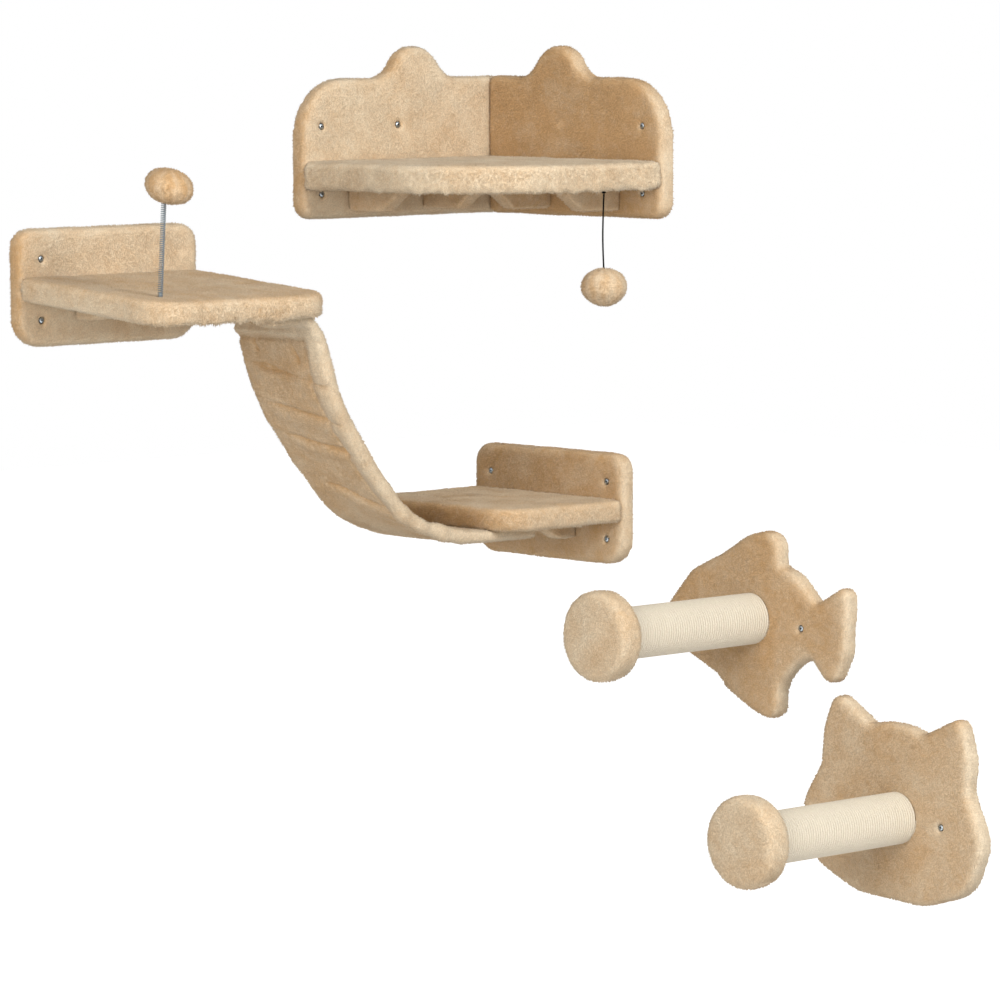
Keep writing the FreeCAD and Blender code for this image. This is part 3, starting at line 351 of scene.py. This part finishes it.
def screwMaterial(spec):
    mat, tree, shader, place = startMaterial("zincScrew")
    apart = tree.nodes.new("ShaderNodeSeparateXYZ")
    link(tree, place, apart.inputs[0])
    height = tree.nodes.new("ShaderNodeMath")
    height.operation = "MULTIPLY"
    height.inputs[1].default_value = -1
    link(tree, apart.outputs["Y"], height.inputs[0])
    nearer = tree.nodes.new("ShaderNodeMath")
    nearer.operation = "MINIMUM"
    link(tree, apart.outputs["X"], nearer.inputs[0])
    link(tree, height.outputs[0], nearer.inputs[1])
    outsideRecess = tree.nodes.new("ShaderNodeMath")
    outsideRecess.operation = "MAXIMUM"
    link(tree, ranged(tree, nearer.outputs[0], *spec["faceHeight"]), outsideRecess.inputs[0])
    link(tree, ranged(tree, nearer.outputs[0], *spec["shankHeight"], 1, 0), outsideRecess.inputs[1])
    face = outsideRecess.outputs[0]
    cloud = noiseNode(tree, place, spec["scale"])
    dull = tuple(c * spec["dull"] for c in spec["color"])
    plating = mixed(tree, ranged(tree, cloud, *noiseSpan), spec["color"], dull)
    # painted shade: the recess is coloured near black
    link(tree, mixed(tree, face, spec["recessShade"], plating), shader.inputs["Base Color"])
    link(tree, ranged(tree, face, 0, 1, *spec["roughness"]), shader.inputs["Roughness"])
    shader.inputs["Metallic"].default_value = 1
    return mat


paperTube = {"low": (0.50, 0.38, 0.26), "high": (0.64, 0.50, 0.35), "scale": 160, "roughness": 0.9,
             "bump": 0.0003, "specular": 0.3}
filling = {"low": (0.84, 0.82, 0.78), "high": (0.94, 0.92, 0.89), "scale": 220, "roughness": 0.95,
           "bump": 0.0008, "specular": 0.3}
string = {"low": (0.004, 0.004, 0.004), "high": (0.010, 0.009, 0.009), "scale": 1500, "roughness": 0.9,
          "bump": 0.0002, "specular": 0.05}


def plainMaterial(name, spec):
    mat, tree, shader, place = startMaterial(name)
    grain = noiseNode(tree, place, spec["scale"])
    link(tree, mixed(tree, ranged(tree, grain, *noiseSpan), spec["low"], spec["high"]),
         shader.inputs["Base Color"])
    shader.inputs["Roughness"].default_value = spec["roughness"]
    shader.inputs["Specular IOR Level"].default_value = spec["specular"]
    bumped(tree, shader, grain, spec["bump"], 0.6)
    return mat


materials = {"plush": plushMaterial("plushBacking", plush, False),
             "pile": plushMaterial("plushPile", plush, True),
             "board": boardMaterial(board), "sisal": sisalMaterial(sisal),
             "zinc": screwMaterial(zinc), "spring": wireMaterial(wire),
             "tube": plainMaterial("pressedPaper", paperTube),
             "filling": plainMaterial("softFilling", filling),
             "cord": plainMaterial("blackCord", string)}
for part in frame["record"]["subparts"]:
    item = nodes[part["node"]]
    item.data.materials.clear()
    item.data.materials.append(materials[part["material_slot"]])
print("materials made")

pile = {"perArea": 245000, "quickShare": 0.25, "under": 0.35, "long": 0.0025, "wide": 0.00095,
        "rootShare": 0.08, "lean": 0.5, "scatter": 0.42, "drift": 26, "swirl": 2.2,
        "sizes": (0.65, 1.3), "slim": 0.55, "soft": 0.55}


def makeTuft(spec):
    bm = bmesh.new()
    bmesh.ops.create_cone(bm, segments=3, radius1=spec["wide"], radius2=0, depth=spec["long"],
                          cap_ends=False)
    bmesh.ops.remove_doubles(bm, verts=bm.verts, dist=1e-7)
    bmesh.ops.translate(bm, verts=bm.verts, vec=(0, 0, spec["long"] * (0.5 - spec["rootShare"])))
    tip = bm.verts.layers.float.new("tip")
    for v in bm.verts:
        v[tip] = 1.0 if v.co.z > spec["long"] * 0.5 else 0.0
    mesh = bpy.data.meshes.new("tuft")
    bm.to_mesh(mesh)
    bm.free()
    mesh.materials.append(materials["pile"])
    mesh.shade_smooth()
    return bpy.data.objects.new("tuft", mesh)


def pileGroup(tuft, spec):
    # points all over the skin, one leaning tuft on each
    group = bpy.data.node_groups.new("shortPile", "GeometryNodeTree")
    socketsOf(group, "INPUT", [("Skin", "Geometry"), ("Seed", "Int"), ("Nap", "Vector"),
                               ("Density", "Float")])
    socketsOf(group, "OUTPUT", [("Pile", "Geometry")])
    new = group.nodes.new
    come, go = new("NodeGroupInput"), new("NodeGroupOutput")
    hairy = new("GeometryNodeInputNamedAttribute")
    hairy.inputs["Name"].default_value = "hairy"
    amount = new("ShaderNodeMath")
    amount.operation = "MULTIPLY"
    link(group, hairy.outputs["Attribute"], amount.inputs[0])
    link(group, come.outputs["Density"], amount.inputs[1])
    spread = new("GeometryNodeDistributePointsOnFaces")
    link(group, come.outputs["Skin"], spread.inputs["Mesh"])
    link(group, amount.outputs[0], spread.inputs["Density"])
    link(group, come.outputs["Seed"], spread.inputs["Seed"])
    drift = new("ShaderNodeTexNoise")
    drift.inputs["Scale"].default_value = spec["drift"]
    drift.inputs["Detail"].default_value = 2
    swirl = new("ShaderNodeVectorMath")
    swirl.operation = "SUBTRACT"
    swirl.inputs[1].default_value = (0.5, 0.5, 0.5)
    link(group, drift.outputs["Color"], swirl.inputs[0])
    loose = new("FunctionNodeRandomValue")
    loose.data_type = "FLOAT_VECTOR"
    loose.inputs[0].default_value = (-spec["scatter"],) * 3
    loose.inputs[1].default_value = (spec["scatter"],) * 3
    parts = [(spread.outputs["Normal"], 1.0), (come.outputs["Nap"], spec["lean"]),
             (swirl.outputs[0], spec["swirl"]), (loose.outputs["Value"], 1.0)]
    total = None
    for vector, share in parts:
        scaled = new("ShaderNodeVectorMath")
        scaled.operation = "SCALE"
        scaled.inputs["Scale"].default_value = share
        link(group, vector, scaled.inputs[0])
        if total is None:
            total = scaled.outputs[0]
            continue
        add = new("ShaderNodeVectorMath")
        link(group, total, add.inputs[0])
        link(group, scaled.outputs[0], add.inputs[1])
        total = add.outputs[0]
    turn = new("FunctionNodeAlignRotationToVector")
    turn.axis = "Z"
    link(group, total, turn.inputs["Vector"])
    reach = new("GeometryNodeInputNamedAttribute")
    reach.inputs["Name"].default_value = "reach"
    vary = new("FunctionNodeRandomValue")
    vary.inputs[2].default_value, vary.inputs[3].default_value = spec["sizes"]
    size = new("ShaderNodeMath")
    size.operation = "MULTIPLY"
    link(group, reach.outputs["Attribute"], size.inputs[0])
    link(group, vary.outputs[1], size.inputs[1])
    fetch = new("GeometryNodeObjectInfo")
    fetch.inputs["Object"].default_value = tuft
    keepLay = new("GeometryNodeStoreNamedAttribute")
    keepLay.data_type, keepLay.domain = "FLOAT_VECTOR", "POINT"
    keepLay.inputs["Name"].default_value = "lay"
    link(group, spread.outputs["Points"], keepLay.inputs["Geometry"])
    link(group, spread.outputs["Normal"], keepLay.inputs["Value"])
    plant = new("GeometryNodeInstanceOnPoints")
    link(group, keepLay.outputs[0], plant.inputs["Points"])
    link(group, fetch.outputs["Geometry"], plant.inputs["Instance"])
    link(group, turn.outputs["Rotation"], plant.inputs["Rotation"])
    slim = new("ShaderNodeMath")
    slim.operation = "POWER"
    slim.inputs[1].default_value = spec["slim"]
    link(group, size.outputs[0], slim.inputs[0])
    stretch = new("ShaderNodeCombineXYZ")
    for axis, value in (("X", slim), ("Y", slim), ("Z", size)):
        link(group, value.outputs[0], stretch.inputs[axis])
    link(group, stretch.outputs[0], plant.inputs["Scale"])
    real = new("GeometryNodeRealizeInstances")
    link(group, plant.outputs["Instances"], real.inputs["Geometry"])
    # the tufts are shaded mostly as the skin under them, as soft plush is
    lay = new("GeometryNodeInputNamedAttribute")
    lay.data_type = "FLOAT_VECTOR"
    lay.inputs["Name"].default_value = "lay"
    blend = new("ShaderNodeMix")
    blend.data_type = "VECTOR"
    blend.inputs[0].default_value = spec["soft"]
    link(group, new("GeometryNodeInputNormal").outputs[0], blend.inputs[4])
    link(group, lay.outputs["Attribute"], blend.inputs[5])
    even = new("ShaderNodeVectorMath")
    even.operation = "NORMALIZE"
    link(group, blend.outputs[1], even.inputs[0])
    shading = new("GeometryNodeSetMeshNormal")
    shading.mode, shading.domain = "FREE", "POINT"
    link(group, real.outputs["Geometry"], shading.inputs["Mesh"])
    link(group, even.outputs[0], shading.inputs["Custom Normal"])
    clean = new("GeometryNodeRemoveAttribute")
    clean.inputs["Name"].default_value = "lay"
    link(group, shading.outputs[0], clean.inputs["Geometry"])
    link(group, clean.outputs[0], go.inputs["Pile"])
    return group


tuft = makeTuft(pile)
pileTree = pileGroup(tuft, pile)


def applied(item):
    graph = bpy.context.evaluated_depsgraph_get()
    return bpy.data.meshes.new_from_object(item.evaluated_get(graph), depsgraph=graph)


def placed(name, mesh, body):
    item = bpy.data.objects.new(name, mesh)
    scene.collection.objects.link(item)
    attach(item, body)
    return item


def growPile(skin, name, body, seed, nap, density):
    worker = bpy.data.objects.new("pileWorker", skin.data)
    scene.collection.objects.link(worker)
    grow = worker.modifiers.new("pile", "NODES")
    grow.node_group = pileTree
    amount = pile["perArea"] * density * 1
    given = {"Seed": seed, "Nap": nap, "Density": amount}
    for socket in pileTree.interface.items_tree:
        if socket.in_out == "INPUT" and socket.name in given:
            grow[socket.identifier] = given[socket.name]
    mesh = applied(worker)
    bpy.data.objects.remove(worker)
    mesh.name = name
    return placed(name, mesh, body)


weldGap = 1e-5


def mergedCopy(node):
    bm = bmesh.new()
    bm.from_mesh(nodes[node].data)
    bmesh.ops.remove_doubles(bm, verts=bm.verts, dist=weldGap)
    return bm


def remeshed(bm, voxel, smooth):
    mesh = bpy.data.meshes.new("blank")
    bm.to_mesh(mesh)
    bm.free()
    worker = bpy.data.objects.new("blank", mesh)
    scene.collection.objects.link(worker)
    grid = worker.modifiers.new("grid", "REMESH")
    grid.mode, grid.voxel_size = "VOXEL", voxel
    ease = worker.modifiers.new("ease", "SMOOTH")
    ease.iterations, ease.factor = smooth, 0.5
    made = applied(worker)
    bpy.data.objects.remove(worker)
    return made


def treeOf(node):
    bm = mergedCopy(node)
    made = BVHTree.FromBMesh(bm)
    bm.free()
    return made


def plushLayers(bm):
    # where hair grows, how long it is, and its tone: how brown, with painted light and shade in it
    return [bm.verts.layers.float.new(name) for name in ("hairy", "reach", "tone")]


def plushSkin(bm, mesh, name, body, node):
    bm.to_mesh(mesh)
    bm.free()
    mesh.name = name
    mesh.materials.clear()
    mesh.materials.append(materials["plush"])
    mesh.shade_smooth()
    skin = placed(name, mesh, body)
    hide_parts(node)
    return skin


headFace = 0.0002  # a vertex this near the highest one is on the head's face


def headSpots(node, out):
    # middle of each screw head's face
    bm = mergedCopy(node)
    left, spots = set(bm.verts), []
    while left:
        start = left.pop()
        island, edge = [start], [start]
        while edge:
            for e in edge.pop().link_edges:
                for v in e.verts:
                    if v in left:
                        left.discard(v)
                        island.append(v)
                        edge.append(v)
        top = max(v.co.dot(out) for v in island)
        face = [v.co for v in island if v.co.dot(out) > top - headFace]
        spots.append(sum(face, Vector()) / len(face))
    bm.free()
    return spots


dimple = {"open": 0.0053, "reach": 0.013, "above": 0.0004, "below": 0.006, "bare": 0.0062}


def pressedIn(v, spots, out, spec):
    # the plush is drawn down round each screw head
    for spot in spots:
        off = v.co - spot
        height = off.dot(out)
        flat = off - out * height
        away = flat.length
        if away > spec["reach"] or height < -spec["below"]:
            continue
        if weldGap < away < spec["open"]:
            v.co += flat * (spec["open"] / away - 1)
            away = spec["open"]
        if height > spec["above"]:
            share = (away - spec["open"]) / (spec["reach"] - spec["open"])
            v.co -= out * ((height - spec["above"]) * (1 - share * share * (3 - 2 * share)))
        return away < spec["bare"]
    return False


plushCover = {"voxel": 0.0036, "smooth": 3, "skinDepth": 0.003, "wallGap": 0.0015, "lump": 0.0009,
              "density": 1.0, "rim": 1.0, "tone": 0.5, "sideShade": ((0, -1, 0), 0.0), "topShade": 0.0,
              "dome": 0.0, "curl": 0.0, "fringe": 0.0, "screws": None}
lumps = {"scale": 24, "fineScale": 85, "fineShare": 0.3}
rimHair = {"flat": 1.6, "usual": 0.75, "sway": 0.5, "scale": 90}
curls = {"scale": 130, "fineScale": 240, "fineShare": 0.7, "sharp": 3, "tone": 0.16}
fringe = {"flat": 4, "slope": 2, "start": 0.9, "usual": 0.45, "sway": 1.6, "scale": 75, "lift": 0.2,
          "longer": 1.1}
undersideSlope = -0.8


def clamped(x):
    return max(0, min(1, x))


def curlGap(place, spec):
    # 1 in the partings between curls, 0 on the curls
    mix = noise.noise(place * spec["scale"]) + spec["fineShare"] * noise.noise(place * spec["fineScale"])
    return 1 - min(1, spec["sharp"] * abs(mix))


def hangShare(v, low, middle, spec):
    # 1 at the rim's lower edge, 0 on its upper half and on the flat sides
    rim = min(1, (1 - abs(v.normal.z)) * spec["flat"])
    return rim * clamped((middle.z - v.co.z) / (middle.z - low.z) * spec["slope"] - spec["start"])


def cover(node, board, wall, nap, seed, spec):
    # the CAD cover with the lumps of real padding, and a pile on the side that shows
    mesh = remeshed(mergedCopy(node), spec["voxel"], spec["smooth"])
    inner = treeOf(board)
    low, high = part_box(node)
    middle = (low + high) / 2
    spots = headSpots(spec["screws"], -Vector(wall)) if spec["screws"] else []
    side, turned = Vector(spec["sideShade"][0]), spec["sideShade"][1]
    bm = bmesh.new()
    bm.from_mesh(mesh)
    bm.normal_update()
    hairy, reach, shade = plushLayers(bm)
    for v in bm.verts:
        far = inner.find_nearest(v.co, spec["skinDepth"])[0] is None
        back = wall is not None and v.co.dot(Vector(wall)) > -spec["wallGap"]
        v[hairy] = 1.0 if far and not back else 0.0
        if v[hairy] and wall is None and v.normal.z < undersideSlope:
            v[hairy] = pile["under"]
        upright = 1 - min(1, abs(v.normal.z) * rimHair["flat"])
        vary = rimHair["usual"] + rimHair["sway"] * noise.noise(v.co * rimHair["scale"])
        v[reach] = 1.0 + (spec["rim"] - 1.0) * upright * vary
        # painted light and shade: the tone moves with how far the face turns to the given side, and tops are
        # painted darker
        v[shade] = spec["tone"] + turned * max(0, v.normal.dot(side)) + spec["topShade"] * max(0, v.normal.z)
        if v[hairy]:
            if spec["dome"]:
                away = ((v.co - middle) * Vector((1, 0, 1))).length / (high.x - middle.x)
                rise = spec["dome"] * max(0, 1 - away * away) * abs(v.normal.y)
                v.co.y += math.copysign(rise, v.normal.y)
            broad = noise.noise(v.co * lumps["scale"])
            move = spec["lump"] * (broad + lumps["fineShare"] * noise.noise(v.co * lumps["fineScale"]))
            if spec["curl"]:
                gap = upright * curlGap(v.co, curls)
                move -= spec["curl"] * gap
                # painted shade: the partings between curls are darkened
                v[shade] += curls["tone"] * gap
                hang = hangShare(v, low, middle, fringe)
                ragged = fringe["usual"] + fringe["sway"] * noise.noise(v.co * fringe["scale"])
                v.co.z -= hang * spec["fringe"] * max(-fringe["lift"], ragged)
                v[reach] += fringe["longer"] * hang
            v.co += v.normal * move
        if spots and pressedIn(v, spots, -Vector(wall), dimple):
            v[hairy] = 0.0
    name = node.replace("_cover", "_plush").replace("covers", "plush")
    skin = plushSkin(bm, mesh, name, "wall_set", node)
    growPile(skin, name + "_pile", "wall_set", seed, nap, spec["density"])


leftWall, rightWall = (-1, 0, 0), (0, 1, 0)
# painted light and shade by the way a face turns: faces towards -Y, away from the key lamp, painted darker;
# faces towards +X, on the key lamp's side, painted paler; the perch shelf's -Y faces painted a little paler
southShaded, southLit, eastLit = ((0, -1, 0), 0.6), ((0, -1, 0), -0.2), ((1, 0, 0), -0.6)
bracket = {"voxel": 0.0022, "lump": 0.0007, "skinDepth": 0.0018, "tone": 0.55}
endDisc = {"lump": 0.0006, "tone": 0.3, "smooth": 9, "dome": 0.0035}
# painted shade: the covers on the right wall, turned away from the key lamp, get a deeper base tone than
# those on the left wall
covers = [
    ("perch_left_cover", "perch_left_board", leftWall, (0, 0, -1),
     {"tone": 0.25, "sideShade": southShaded, "screws": "perch_left_screws"}),
    ("perch_right_cover", "perch_right_board", rightWall, (0, 0, -1),
     {"tone": 0.95, "sideShade": eastLit, "screws": "perch_right_screws"}),
    ("perch_shelf_cover", "perch_shelf_board", None, (0.5, -0.5, -0.7),
     {"rim": 1.5, "tone": 0.25, "sideShade": southLit, "curl": 0.0018, "fringe": 0.0050}),
    ("perch_bracket_covers", "perch_brackets", None, (0, 0, -1), bracket),
    ("upper_cover", "upper_board", leftWall, (0, 0, -1),
     {"tone": 0.3, "sideShade": southShaded, "screws": "upper_screws"}),
    # painted shade: the tops of this shelf and of the lower shelf are painted darker
    ("upper_shelf_cover", "upper_shelf_board", None, (0.2, -0.5, -0.6),
     {"rim": 1.4, "tone": 0.25, "topShade": 0.35, "curl": 0.0014, "fringe": 0.0036}),
    ("upper_bracket_covers", "upper_brackets", None, (0, 0, -1), bracket),
    ("lower_cover", "lower_board", rightWall, (0, 0, -1),
     {"tone": 0.8, "sideShade": eastLit, "screws": "lower_screws"}),
    ("lower_shelf_cover", "lower_shelf_board", None, (0.4, -0.3, -0.6),
     {"rim": 1.4, "tone": 0.35, "sideShade": southShaded, "topShade": 0.15, "curl": 0.0010, "fringe": 0.0020}),
    ("lower_bracket_covers", "lower_brackets", None, (0, 0, -1), bracket),
    ("fish_cover", "fish_board", rightWall, (-0.6, 0, -0.8),
     {"tone": 0.75, "sideShade": eastLit, "screws": "fish_screws"}),
    ("fish_end_cover", "fish_end_board", None, (0, 0, -1), endDisc),
    ("head_cover", "head_board", rightWall, (-0.3, 0, -1),
     {"tone": 0.6, "sideShade": eastLit, "screws": "head_screws"}),
    ("head_end_cover", "head_end_board", None, (0, 0, -1), endDisc),
]
for number, (node, board, wall, nap, extra) in enumerate(covers):
    cover(node, board, wall, nap, number, {**plushCover, **extra})
print("plush covers made")


rope = {"radius": 0.0022, "sides": 6, "stepsPerTurn": 40, "pitchShare": 1.94, "sinkShare": 0.3}


def windPost(node):
    # wound from the wall end, where the first turn sinks into the plush
    low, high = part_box(node)
    middle = (low + high) / 2
    outer = (high.x - low.x) / 2
    long = high.y - low.y
    pitch = rope["radius"] * rope["pitchShare"]
    turns = int((long - rope["radius"]) / pitch)
    bm = bmesh.new()
    bmesh.ops.create_circle(bm, segments=rope["sides"], radius=rope["radius"])
    sunk = rope["radius"] * rope["sinkShare"]
    start = Vector((middle.x + outer - rope["radius"], high.y + sunk, middle.z))
    bmesh.ops.translate(bm, verts=bm.verts, vec=start)
    steps = turns * rope["stepsPerTurn"]
    bmesh.ops.spin(bm, geom=bm.edges[:], cent=middle, axis=(0, 1, 0), angle=2 * math.pi * turns,
                   dvec=(0, -turns * pitch / steps, 0), steps=steps, use_duplicate=False)
    ends = [e for e in bm.edges if e.is_boundary]
    bmesh.ops.holes_fill(bm, edges=ends, sides=0)
    bmesh.ops.recalc_face_normals(bm, faces=bm.faces)
    mesh = bpy.data.meshes.new(node.replace("sisal", "rope"))
    bm.to_mesh(mesh)
    bm.free()
    mesh.materials.append(materials["sisal"])
    mesh.shade_smooth()
    made = placed(mesh.name, mesh, "wall_set")
    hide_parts(node)


for node in ("fish_sisal", "head_sisal"):
    windPost(node)
print("posts wound")

# folds are lines across the mat, as places on its outer face; the hem is the roll on its open side
bridge = {
    "folds": [((0.1247, -0.5491, -0.180), (0.2673, -0.5427, -0.2068), 0.0032, 0.0055),
              ((0.1377, -0.5258, -0.2359), (0.2662, -0.5145, -0.2588), 0.0028, 0.0080),
              ((0.1420, -0.4965, -0.2800), (0.2498, -0.4836, -0.2996), 0.0026, 0.0060),
              ((0.1572, -0.4424, -0.3467), (0.2547, -0.4037, -0.3813), 0.0026, 0.0080),
              ((0.2525, -0.5665, -0.1390), (0.2461, -0.5487, -0.1860), 0.0030, 0.0048),
              ((0.2094, -0.5640, -0.1399), (0.2232, -0.5515, -0.1779), 0.0026, 0.0055),
              ((0.1380, -0.5576, -0.1480), (0.1440, -0.5539, -0.1643), 0.0022, 0.0050)],
    "foldLook": {"over": 0.1, "fade": 5, "wobble": 0.005, "wobbleScale": 22, "dip": 1.4, "sharp": 0.6,
                 "swell": 0.6, "swellAbove": -0.24, "swellOff": 2, "swellWidth": 1.2, "line": 0.5},
    "held": {"top": 0.006, "end": 0.80, "fade": 10},
    "hem": {"across": 0.80, "closer": 0.10, "from": 0.3, "half": 0.11, "width": 0.075, "bulge": 0.0038,
            "line": 0.022, "groove": 0.0034, "pale": 1.1, "clear": 1.3},
    "roll": {"top": -0.130, "tall": 0.014, "until": 0.35, "sway": 0.25, "swayScale": 45, "middle": 0.35,
             "width": 0.45, "litWidth": 0.5, "bulge": 0.0050, "line": 1.25, "lineWidth": 0.18,
             "groove": 0.0034},
    "wave": {"deep": 0.0032, "from": 0.4, "fade": 8, "scale": 42, "slice": 3},
    "ripple": {"deep": 0.0016, "scale": (26, 30, 30)},
    "voxel": 0.0026, "smooth": 3, "tone": 0.62, "hemLightTone": 0.2, "creaseShade": 0.4, "hair": 1.1,
    "creaseHair": 0.6, "outward": (0, -0.7, -0.7), "nap": (0.1, 0.3, -1), "seed": 40, "fill": 0.35}


def bell(x, width):
    return math.exp(-(x / width) ** 2)


def foldDepth(place, folds, look):
    # soft creases with a low swelling below each, and how near a crease is
    depth, near = 0, 0
    for start, end, deep, wide in folds:
        a, b = Vector(start), Vector(end)
        along = (place - a).dot(b - a) / (b - a).length_squared
        if -look["over"] < along < 1 + look["over"]:
            nearest = a + (b - a) * along
            off = abs((place - nearest).length + look["wobble"] * noise.noise(place * look["wobbleScale"]))
            ends = min(1, (along + look["over"]) * look["fade"], (1 + look["over"] - along) * look["fade"])
            swell = look["swell"] if place.z < nearest.z else look["swellAbove"]
            dip = look["dip"] * bell(off, wide * look["sharp"])
            dip -= swell * bell(off - wide * look["swellOff"], wide * look["swellWidth"])
            depth += ends * deep * dip
            near = max(near, ends * bell(off, wide * look["line"]))
    return depth, near


def rollMove(place, roll):
    # the roll under the upper shelf: the move outward, and how much painted light it gets there, pale where
    # it faces up to the lamps
    down = (roll["top"] - place.z) / roll["tall"]
    down += roll["sway"] * noise.noise(Vector((place.x * roll["swayScale"], 0, 0)))
    bulge = roll["bulge"] * bell(down - roll["middle"], roll["width"])
    groove = roll["groove"] * bell(down - roll["line"], roll["lineWidth"])
    return bulge - groove, bell(down - roll["middle"], roll["litWidth"])


def makeBridge(spec):
    mesh = remeshed(mergedCopy("bridge_mat"), spec["voxel"], spec["smooth"])
    bm = bmesh.new()
    bm.from_mesh(mesh)
    bm.normal_update()
    hairy, reach, shade = plushLayers(bm)
    low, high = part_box("bridge_mat")
    hem, roll, wave, held = spec["hem"], spec["roll"], spec["wave"], spec["held"]
    for v in bm.verts:
        place = v.co.copy()
        across = (place.x - low.x) / (high.x - low.x)
        share = (place.y - low.y) / (high.y - low.y)
        free = clamped((roll["top"] - place.z) / held["top"]) * clamped((held["end"] - share) * held["fade"])
        outer = max(0, v.normal.dot(Vector(spec["outward"])))
        edge = hem["across"] - hem["closer"] * max(0, share - hem["from"])
        rolled = bell(across - (edge + hem["half"]), hem["width"])
        move = hem["bulge"] * rolled - hem["groove"] * bell(across - edge, hem["line"]) * outer
        depth, crease = foldDepth(place, spec["folds"], spec["foldLook"])
        move -= depth * outer
        upper = 0
        if share < roll["until"]:
            rise, pale = rollMove(place, roll)
            upper = pale * outer
            move += outer * (1 - min(1, rolled * hem["clear"])) * rise
        if across > edge and share > wave["from"]:
            spot = Vector((wave["slice"], place.y * wave["scale"], place.z * wave["scale"]))
            move += wave["deep"] * noise.noise(spot) * min(1, (share - wave["from"]) * wave["fade"])
        move += spec["ripple"]["deep"] * noise.noise(place * Vector(spec["ripple"]["scale"]))
        v.co += v.normal * free * move
        v[hairy], v[reach] = 1.0, spec["hair"] - spec["creaseHair"] * crease * outer
        # painted light: the hem roll, the edge beyond it and the roll under the shelf are painted pale where
        # they face the lamps
        pale = min(1, rolled * hem["pale"] + (across > edge + hem["half"]) + upper)
        v[shade] = spec["tone"] + (spec["hemLightTone"] - spec["tone"]) * pale
        # painted shade: darker along each crease line
        v[shade] += spec["creaseShade"] * crease * outer
    skin = plushSkin(bm, mesh, "bridge_plush", "wall_set", "bridge_mat")
    growPile(skin, "bridge_plush_pile", "wall_set", spec["seed"], spec["nap"], 1.0)


makeBridge(bridge)
print("bridge made")

ball = {"voxel": 0.0022, "smooth": 3, "lump": 0.0007, "lumpScale": 60, "streak": 0.16, "fill": 0.8,
        "density": 1.1, "nap": (0, 0, -0.4)}
gathers = {"count": 9, "deep": 0.0028, "span": 0.9, "usual": 0.6, "sway": 0.4, "wander": 2, "wanderScale": 40}


def makeBall(node, body, seed, pole, tone):
    # the CAD ball, its cloth gathered round the pole
    mesh = remeshed(mergedCopy(node), ball["voxel"], ball["smooth"])
    low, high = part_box(node)
    middle = (low + high) / 2
    bm = bmesh.new()
    bm.from_mesh(mesh)
    bm.normal_update()
    hairy, reach, shade = plushLayers(bm)
    for v in bm.verts:
        out = v.co - middle
        v[hairy] = 1.0 if v.normal.dot(out) > 0 else 0.0
        v[reach], v[shade] = 1.0, tone
        if not v[hairy]:
            continue
        angle = out.angle(Vector(pole))
        near = max(0.0, 1 - angle / gathers["span"])
        turned = math.atan2(out.y, out.x) * gathers["count"]
        fold = math.cos(turned + gathers["wander"] * noise.noise(v.co * gathers["wanderScale"]))
        v.co -= v.normal * (near * (gathers["usual"] + gathers["sway"] * fold) * gathers["deep"])
        v.co += v.normal * noise.noise(v.co * ball["lumpScale"]) * ball["lump"]
        v[shade] += ball["streak"] * fold * math.sin(angle)
    name = node.replace("_cover", "_plush")
    skin = plushSkin(bm, mesh, name, body, node)
    fuzz = growPile(skin, name + "_pile", body, seed, ball["nap"], ball["density"])
    return skin, fuzz


makeBall("spring_ball_cover", "spring_part_4", 60, (0.1, -0.1, -1), 0.75)
hangingBall, hangingPile = makeBall("hanging_ball_cover", "toy_swing_body", 61, (0, 0, 1), 0.45)
print("balls made")

toyCord = {"route": [(0.3345, 0.0344), (0.3327, 0.0023), (0.3319, -0.0362), (0.3345, -0.0726)], "y": -0.1,
           "diameter": 0.0023, "length": 0.1071}


def makeCord(spec):
    curve = bpy.data.curves.new("toyString", "CURVE")
    curve.dimensions = "3D"
    curve.bevel_depth, curve.bevel_resolution = spec["diameter"] / 2, 3
    curve.use_fill_caps = True
    line = curve.splines.new("NURBS")
    line.points.add(len(spec["route"]) - 1)
    for point, (x, z) in zip(line.points, spec["route"]):
        point.co = (x, spec["y"], z, 1)
    line.order_u = 3
    line.use_endpoint_u = True
    line.resolution_u = 12
    curve.materials.append(materials["cord"])
    made = bpy.data.objects.new("toyString", curve)
    scene.collection.objects.link(made)
    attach(made, "toy_swing_body")
    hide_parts("toy_cord")
    x, z = spec["route"][0]


makeCord(toyCord)
print("cord made")
